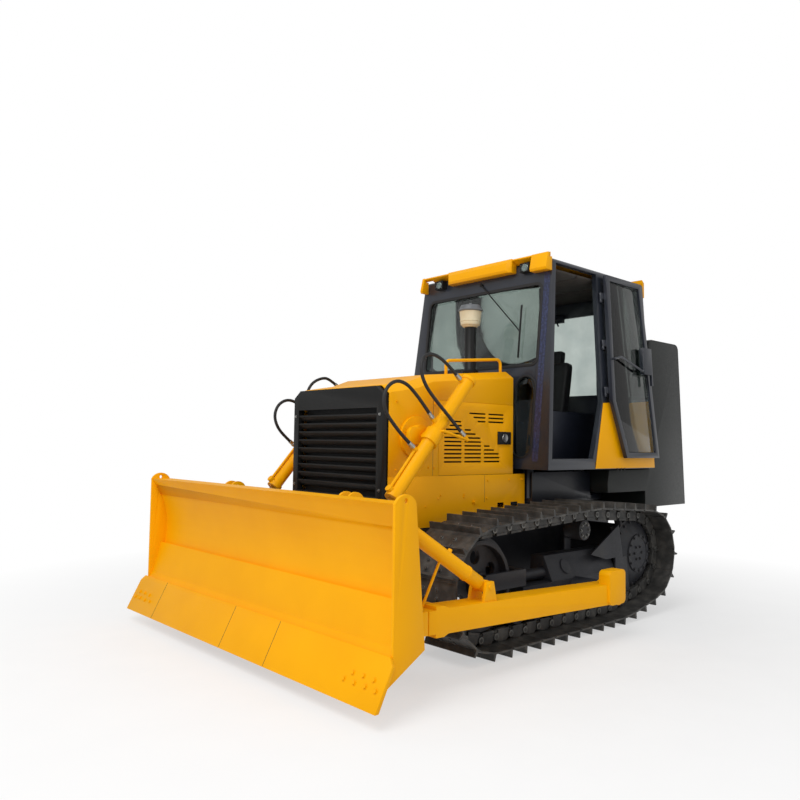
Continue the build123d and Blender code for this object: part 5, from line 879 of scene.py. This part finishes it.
def add_intake():
    """Dark pipe under a cream pre-cleaner bowl with its clamp band and dished cap."""
    low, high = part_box("intake_stack")
    x, y = (low[0] + high[0]) / 2 / MM, (low[1] + high[1]) / 2 / MM
    foot = low[2] / MM
    shape = Shape()
    pipe = [
        (0, foot + 14), (74, foot + 14), (76, foot + 24), (76, foot + 40), (60, foot + 44), (52, foot + 56),
        (52, 2604), (0, 2604),
    ]
    shape.lathe(pipe, (x, y, 0), "Z", 40, 0)
    bowl = [
        (0, 2600), (60, 2600), (70, 2606), (74, 2614), (84, 2618), (88, 2624), (91, 2652), (95, 2654),
        (95, 2662), (92, 2664), (101, 2744), (104, 2748), (0, 2748),
    ]
    shape.lathe(bowl, (x, y, 0), "Z", 48, 1)
    cap = [
        (0, 2744), (104, 2744), (112, 2748), (114, 2754), (111, 2760), (102, 2766), (98, 2782), (86, 2800),
        (60, 2805), (16, 2806), (14, 2808), (14, 2820), (10, 2825), (0, 2826),
    ]
    shape.lathe(cap, (x, y, 0), "Z", 48, 2)
    mesh = shape.mesh(BLACK, CREAM, TRIM)
    smooth(mesh, 40)
    new_piece("air_intake", mesh, (), "root", ["intake_stack"])


def add_lamps():
    """Square work lamps: dark case, silver reflector and clear front."""
    low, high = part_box("roof_lamps")
    face = high[0] / MM
    bottom, top = low[2] / MM, high[2] / MM
    outer = high[1] / MM
    shape = Shape()
    width = 104
    for side in (-1, 1):
        y0, y1 = sorted((side * outer, side * (outer - width)))
        back = low[0] / MM
        shape.box((back, y0, bottom), (face - 10, y1, top), 0)
        rim = 9
        shape.box((face - 12, y0, bottom), (face, y0 + rim, top), 0)
        shape.box((face - 12, y1 - rim, bottom), (face, y1, top), 0)
        shape.box((face - 12, y0 + rim, bottom), (face, y1 - rim, bottom + rim), 0)
        shape.box((face - 12, y0 + rim, top - rim), (face, y1 - rim, top), 0)
        shape.lathe(
            [
                (0, face - 9.5), (12, face - 9), (30, face - 6), (33, face - 5),
                (33, face - 9.8), (0, face - 9.9),
            ],
            (0, (y0 + y1) / 2, (bottom + top) / 2), "X", 28, 1,
        )
        shape.box((face - 5, y0 + rim, bottom + rim), (face - 2, y1 - rim, top - rim), 2)
    mesh = bevelled(shape.mesh(BLACK, SILVER, GLASS), 1.2, segments=1)
    new_piece("work_lamps", mesh, (), "root", ["roof_lamps"])


def cushion(x0, x1, y0, y1, z0, z1, crown):
    """Rounded, crowned pad as a closed mesh."""
    shell = bmesh.new()
    bmesh.ops.create_cube(shell, size=1)
    bmesh.ops.subdivide_edges(shell, edges=shell.edges, cuts=9, use_grid_fill=True)
    middle = Vector(((x0 + x1) / 2, (y0 + y1) / 2, (z0 + z1) / 2))
    size = Vector((x1 - x0, y1 - y0, z1 - z0))
    for vert in shell.verts:
        p = vert.co * 2
        bulge = 1 - crown * (p.x**4 + p.y**4) / 2
        seam = 1 - 0.05 * (abs(p.z) > 0.99) * (abs(abs(p.y) - 0.6) < 0.08)
        vert.co = Vector((
            middle.x + size.x / 2 * p.x * (1 - 0.06 * abs(p.z) ** 6),
            middle.y + size.y / 2 * p.y * (1 - 0.06 * abs(p.z) ** 6),
            middle.z + size.z / 2 * p.z * bulge * seam,
        )) * MM
    return shell


def add_seat():
    """Vinyl suspension seat: crowned cushion and back with pulled seams, on a dark box."""
    low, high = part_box("seat")
    x0, x1, y0, y1, z0, z1 = [v / MM for pair in zip(low, high) for v in pair]
    base = Shape()
    base.box((x0 + 190, y0 + 40, z0), (x1 - 60, y1 - 40, z0 + 300))
    base.box((x0 + 200, y0 + 20, z0 + 290), (x1 - 40, y1 - 20, z0 + 322))
    new_piece("seat_box", bevelled(base.mesh(), 8), CHARCOAL, "root", ["seat"])
    cushion_x0 = x1 - 500
    pads = (
        ("seat_cushion", (cushion_x0, x1, y0, y1, z0 + 322, z0 + 450), 0),
        ("seat_back", (-65, 65, y0 + 15, y1 - 15, 0, 600), 1),
        ("seat_headrest", (-50, 50, -130, 130, 0, 150), 2),
    )
    for name, (a0, a1, b0, b1, c0, c1), kind in pads:
        if kind == 0:
            shell = cushion(a0, a1, b0, b1, c0, c1, 0.16)
        else:
            shell = cushion(c0, c1, b0, b1, a0, a1, 0.2)
            lean = radians(100)
            turn = Matrix.Rotation(-lean, 4, "Y")
            foot = Vector((cushion_x0 + 20, 0, z0 + 430)) if kind == 1 else Vector((x0 + 75, 0, z1 - 158))
            bmesh.ops.transform(shell, matrix=Matrix.Translation(foot * MM) @ turn, verts=shell.verts)
        mesh = bpy.data.meshes.new(name)
        shell.to_mesh(mesh)
        shell.free()
        draft = bpy.data.objects.new("draft", mesh)
        bpy.context.scene.collection.objects.link(draft)
        soft = draft.modifiers.new("soft", "SUBSURF")
        soft.levels = soft.render_levels = 1
        result = baked(draft)
        bpy.data.objects.remove(draft)
        result.shade_smooth()
        pad = new_piece(name, result, VINYL, "root")


# Cab trim -------------------------------------------------------------------------------

FRONT_LEAN = atan2(197, CAB_HEIGHT)
SIDE_LEAN = atan2(104, CAB_HEIGHT)


def laid(origin, along, up):
    """Matrix that lays a flat drawing in a plane, its first axis along and its second up."""
    out = Vector(along).cross(Vector(up))
    turn = Matrix((Vector(along), Vector(up), out)).transposed().to_4x4()
    return Matrix.Translation(Vector(origin) * MM) @ turn


FRONT = laid((25, 0, CAB_FLOOR_Z), (0, 1, 0), (-sin(FRONT_LEAN), 0, cos(FRONT_LEAN)))
LEFT = laid((0, 900, CAB_FLOOR_Z), (-1, 0, 0), (0, -sin(SIDE_LEAN), cos(SIDE_LEAN)))


def rounded(x0, x1, z0, z1, radius, lean, inset=0.0, steps=7):
    """Rounded rectangle between real heights, drawn in a leaning plane of the cab."""
    low, high = [(z - CAB_FLOOR_Z) / cos(lean) for z in (z0, z1)]
    x0, x1, low, high = x0 + inset, x1 - inset, low + inset, high - inset
    r = max(radius - inset, 4)
    points = []
    corners = ((x1 - r, high - r, 0), (x0 + r, high - r, 90), (x0 + r, low + r, 180), (x1 - r, low + r, 270))
    for cx, cz, start in corners:
        for k in range(steps):
            angle = radians(start + 90 * k / (steps - 1))
            points.append((cx + r * cos(angle), cz + r * sin(angle)))
    return points


def add_cab_trim():
    """Window rubbers, pillar film, headliner, rear wiper motor and the door way's treads."""
    seals = Shape()
    wide = (-700, 700, 2250, 2978, 60, FRONT_LEAN)
    seals.band(rounded(*wide, -18), rounded(*wide, 10), -24, 4, FRONT)
    for side in (-1, 1):
        y0, y1 = sorted((side * 480, side * 700))
        tall = (y0, y1, 1430, 2150, 109, FRONT_LEAN)
        seals.band(rounded(*tall, -12), rounded(*tall, 9), -24, 3, FRONT)
    quarter = (986, 1618, 2022, 3078, 34, SIDE_LEAN)
    left = Shape()
    left.band(rounded(*quarter, -14), rounded(*quarter, 12), -30, 3, LEFT)
    new_piece("front_window_rubbers", bevelled(seals.mesh(SEAL), 2, segments=2), (), "root")
    quarter_rubber = bevelled(left.mesh(SEAL), 2, segments=2)
    new_piece("quarter_rubber_left", quarter_rubber, (), "root")
    new_piece("quarter_rubber_right", flipped(quarter_rubber), (), "root")
    film = Shape()
    strip = (722, 784, 1400, 3070, 20, FRONT_LEAN)
    film.band(rounded(*strip), rounded(*strip, 29), 0.3, 1.6, FRONT)
    new_piece("pillar_film", film.mesh(FILM), (), "root")
    lining = Shape()
    for x0, x1 in ((-1640, -1130), (-1118, -640), (-628, -218)):
        panel = ((-735, 3128), (-735, 3108), (-690, 3092), (690, 3092), (735, 3108), (735, 3128))
        lining.prism(panel, x0, x1, "X")
    lining.prism(((-260, 3094), (-230, 3052), (230, 3052), (260, 3094)), -560, -250, "X", 1)
    new_piece("headliner", bevelled(lining.mesh(FELT, PLASTIC), 6), (), "root")
    motor = Shape()
    case = ((-1652, 2990), (-1596, 2984), (-1588, 2960), (-1592, 2905), (-1604, 2894), (-1652, 2894))
    motor.prism(case, -250, -112)
    motor.rod((-1600, -180, 2900), (-1630, -180, 2860), 9)
    new_piece("rear_wiper_motor", bevelled(motor.mesh(PLASTIC), 4), (), "root")
    sill = Shape()
    for side in (-1, 1):
        y0, y1 = sorted((side * 846, side * 892))
        sill.box((-690, y0, 1421), (-50, y1, 1422.4))
        for x in range(-660, -80, 48):
            sill.box((x, y0 + 8, 1422.4), (x + 22, y1 - 8, 1424))
    new_piece("door_sill_treads", sill.mesh(TRIM), (), "root")


# Bolts on the machine -------------------------------------------------------------------


def edge_place(y, down, out=0.0):
    """Place on the cutting edge's front face, measured down its slope."""
    lean = atan2(138.6, 270.9)
    x = 2375 + 24 * cos(lean) + down * sin(lean) + out * cos(lean)
    z = 360 + 24 * sin(lean) - down * cos(lean) + out * sin(lean)
    return x, y, z


def add_fasteners():
    """Bolt heads, seams and small covers on the hood, blade, side panels and final drives."""
    left = (0, 1, 0)
    y_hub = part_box("final_drive_left")[1][1] / MM
    hub = ring((SPROCKET[0], y_hub, SPROCKET[1]), 161, 12, left)
    dish = ring((SPROCKET[0], 982, SPROCKET[1]), 284, 20, left, 0.1)
    centre = ring((SPROCKET[0], y_hub - 8, SPROCKET[1]), 62, 6, left)
    add_bolts("final_drive_bolts", both(hub + dish + centre), "root", 10, CAST)
    roller_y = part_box("track_rollers_left")[1][1] / MM
    cover = ring((CARRIER[0], roller_y, 820), 58, 8, left)
    add_bolts("carrier_roller_bolts", both(cover), "root", 9, DULL_ZINC)
    side_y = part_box("engine_skirts")[1][1] / MM
    skirt = (
        (424, 1240), (434, 1093), (1008, 1111), (982, 1136), (715, 1113), (711, 1131),
        (1144, 1055), (1480, 1240), (1480, 1055), (140, 1240), (-30, 1240),
    )
    add_bolts("skirt_bolts", both([((x, side_y, z), left) for x, z in skirt]), "root", 7, YELLOW)
    add_bolts("skirt_boss", both([((593, side_y, 1067), left)]), "root", 15, YELLOW)
    cover = ((1119, 1353), (1460, 1340), (1460, 1850), (1060, 1350), (1060, 1850))
    add_bolts("cover_bolts", both([((x, side_y, z), left) for x, z in cover]), "root", 7, YELLOW)
    guard_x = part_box("radiator_guard")[1][0] / MM
    guard = [((guard_x, side * 540, z), (1, 0, 0)) for side in (-1, 1) for z in (1190, 1750)]
    add_bolts("guard_bolts", guard, "root", 8, ZINC)
    seams = Shape()
    for side in (-1, 1):
        y0, y1 = sorted((side * (side_y - 2), side * (side_y + 0.4)))
        seams.box((460.5, y0, 1061), (463.5, y1, 1286))
        seams.box((1072.5, y0, 1292), (1075.5, y1, 1878))
    new_piece("side_seams", seams.mesh(SEAL), (), "root")
    lean = atan2(138.6, 270.9)
    face = (cos(lean), 0, sin(lean))
    end_bolts = [(edge_place(side * y, down), face) for side in (-1, 1) for y, down in EDGE_BOLTS]
    add_bolts("edge_bolts", end_bolts, "blade", 11, PLATE_YELLOW, 9)
    joints = Shape()
    for y in EDGE_SEAMS:
        spots = [(y + dy, down) for dy in (-2, 2) for down in (3, 301)]
        joints.hull([edge_place(across, down, out) for across, down in spots for out in (-6, 0.5)])
    new_piece("edge_seams", joints.mesh(SEAL), (), "blade")
    latch_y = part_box("hood_latches")[1][1] / MM
    latches = Shape()
    paddle = [(0, -2), (34, -2), (36, 1), (34, 4), (26, 3), (20, 1), (0, 1)]
    latches.lathe(paddle, (219.5, latch_y, 1595), "Y", 24)
    mesh = latches.mesh(ZINC)
    smooth(mesh)
    new_piece("latch_left_dish", mesh, (), "root")
    new_piece("latch_right_dish", flipped(mesh), (), "root")
    # Dark rubber strips on the cab side panels: painted shade in place of the open slots
    panel = Shape()
    for x in (-1048, -1108, -1168):
        panel.box((x - 4, 900, 1306), (x + 4, 907.6, 1340))
    slot_shade = panel.mesh(SEAL)
    new_piece("panel_slots_left", slot_shade, (), "root")
    new_piece("panel_slots_right", flipped(slot_shade), (), "root")


add_camera()
add_floor()
add_light()
add_tracks()
add_dressed_nodes()
add_hoses()
add_intake()
add_lamps()
add_seat()
add_cab_trim()
add_fasteners()
bpy.context.scene.view_settings.view_transform = "Standard"
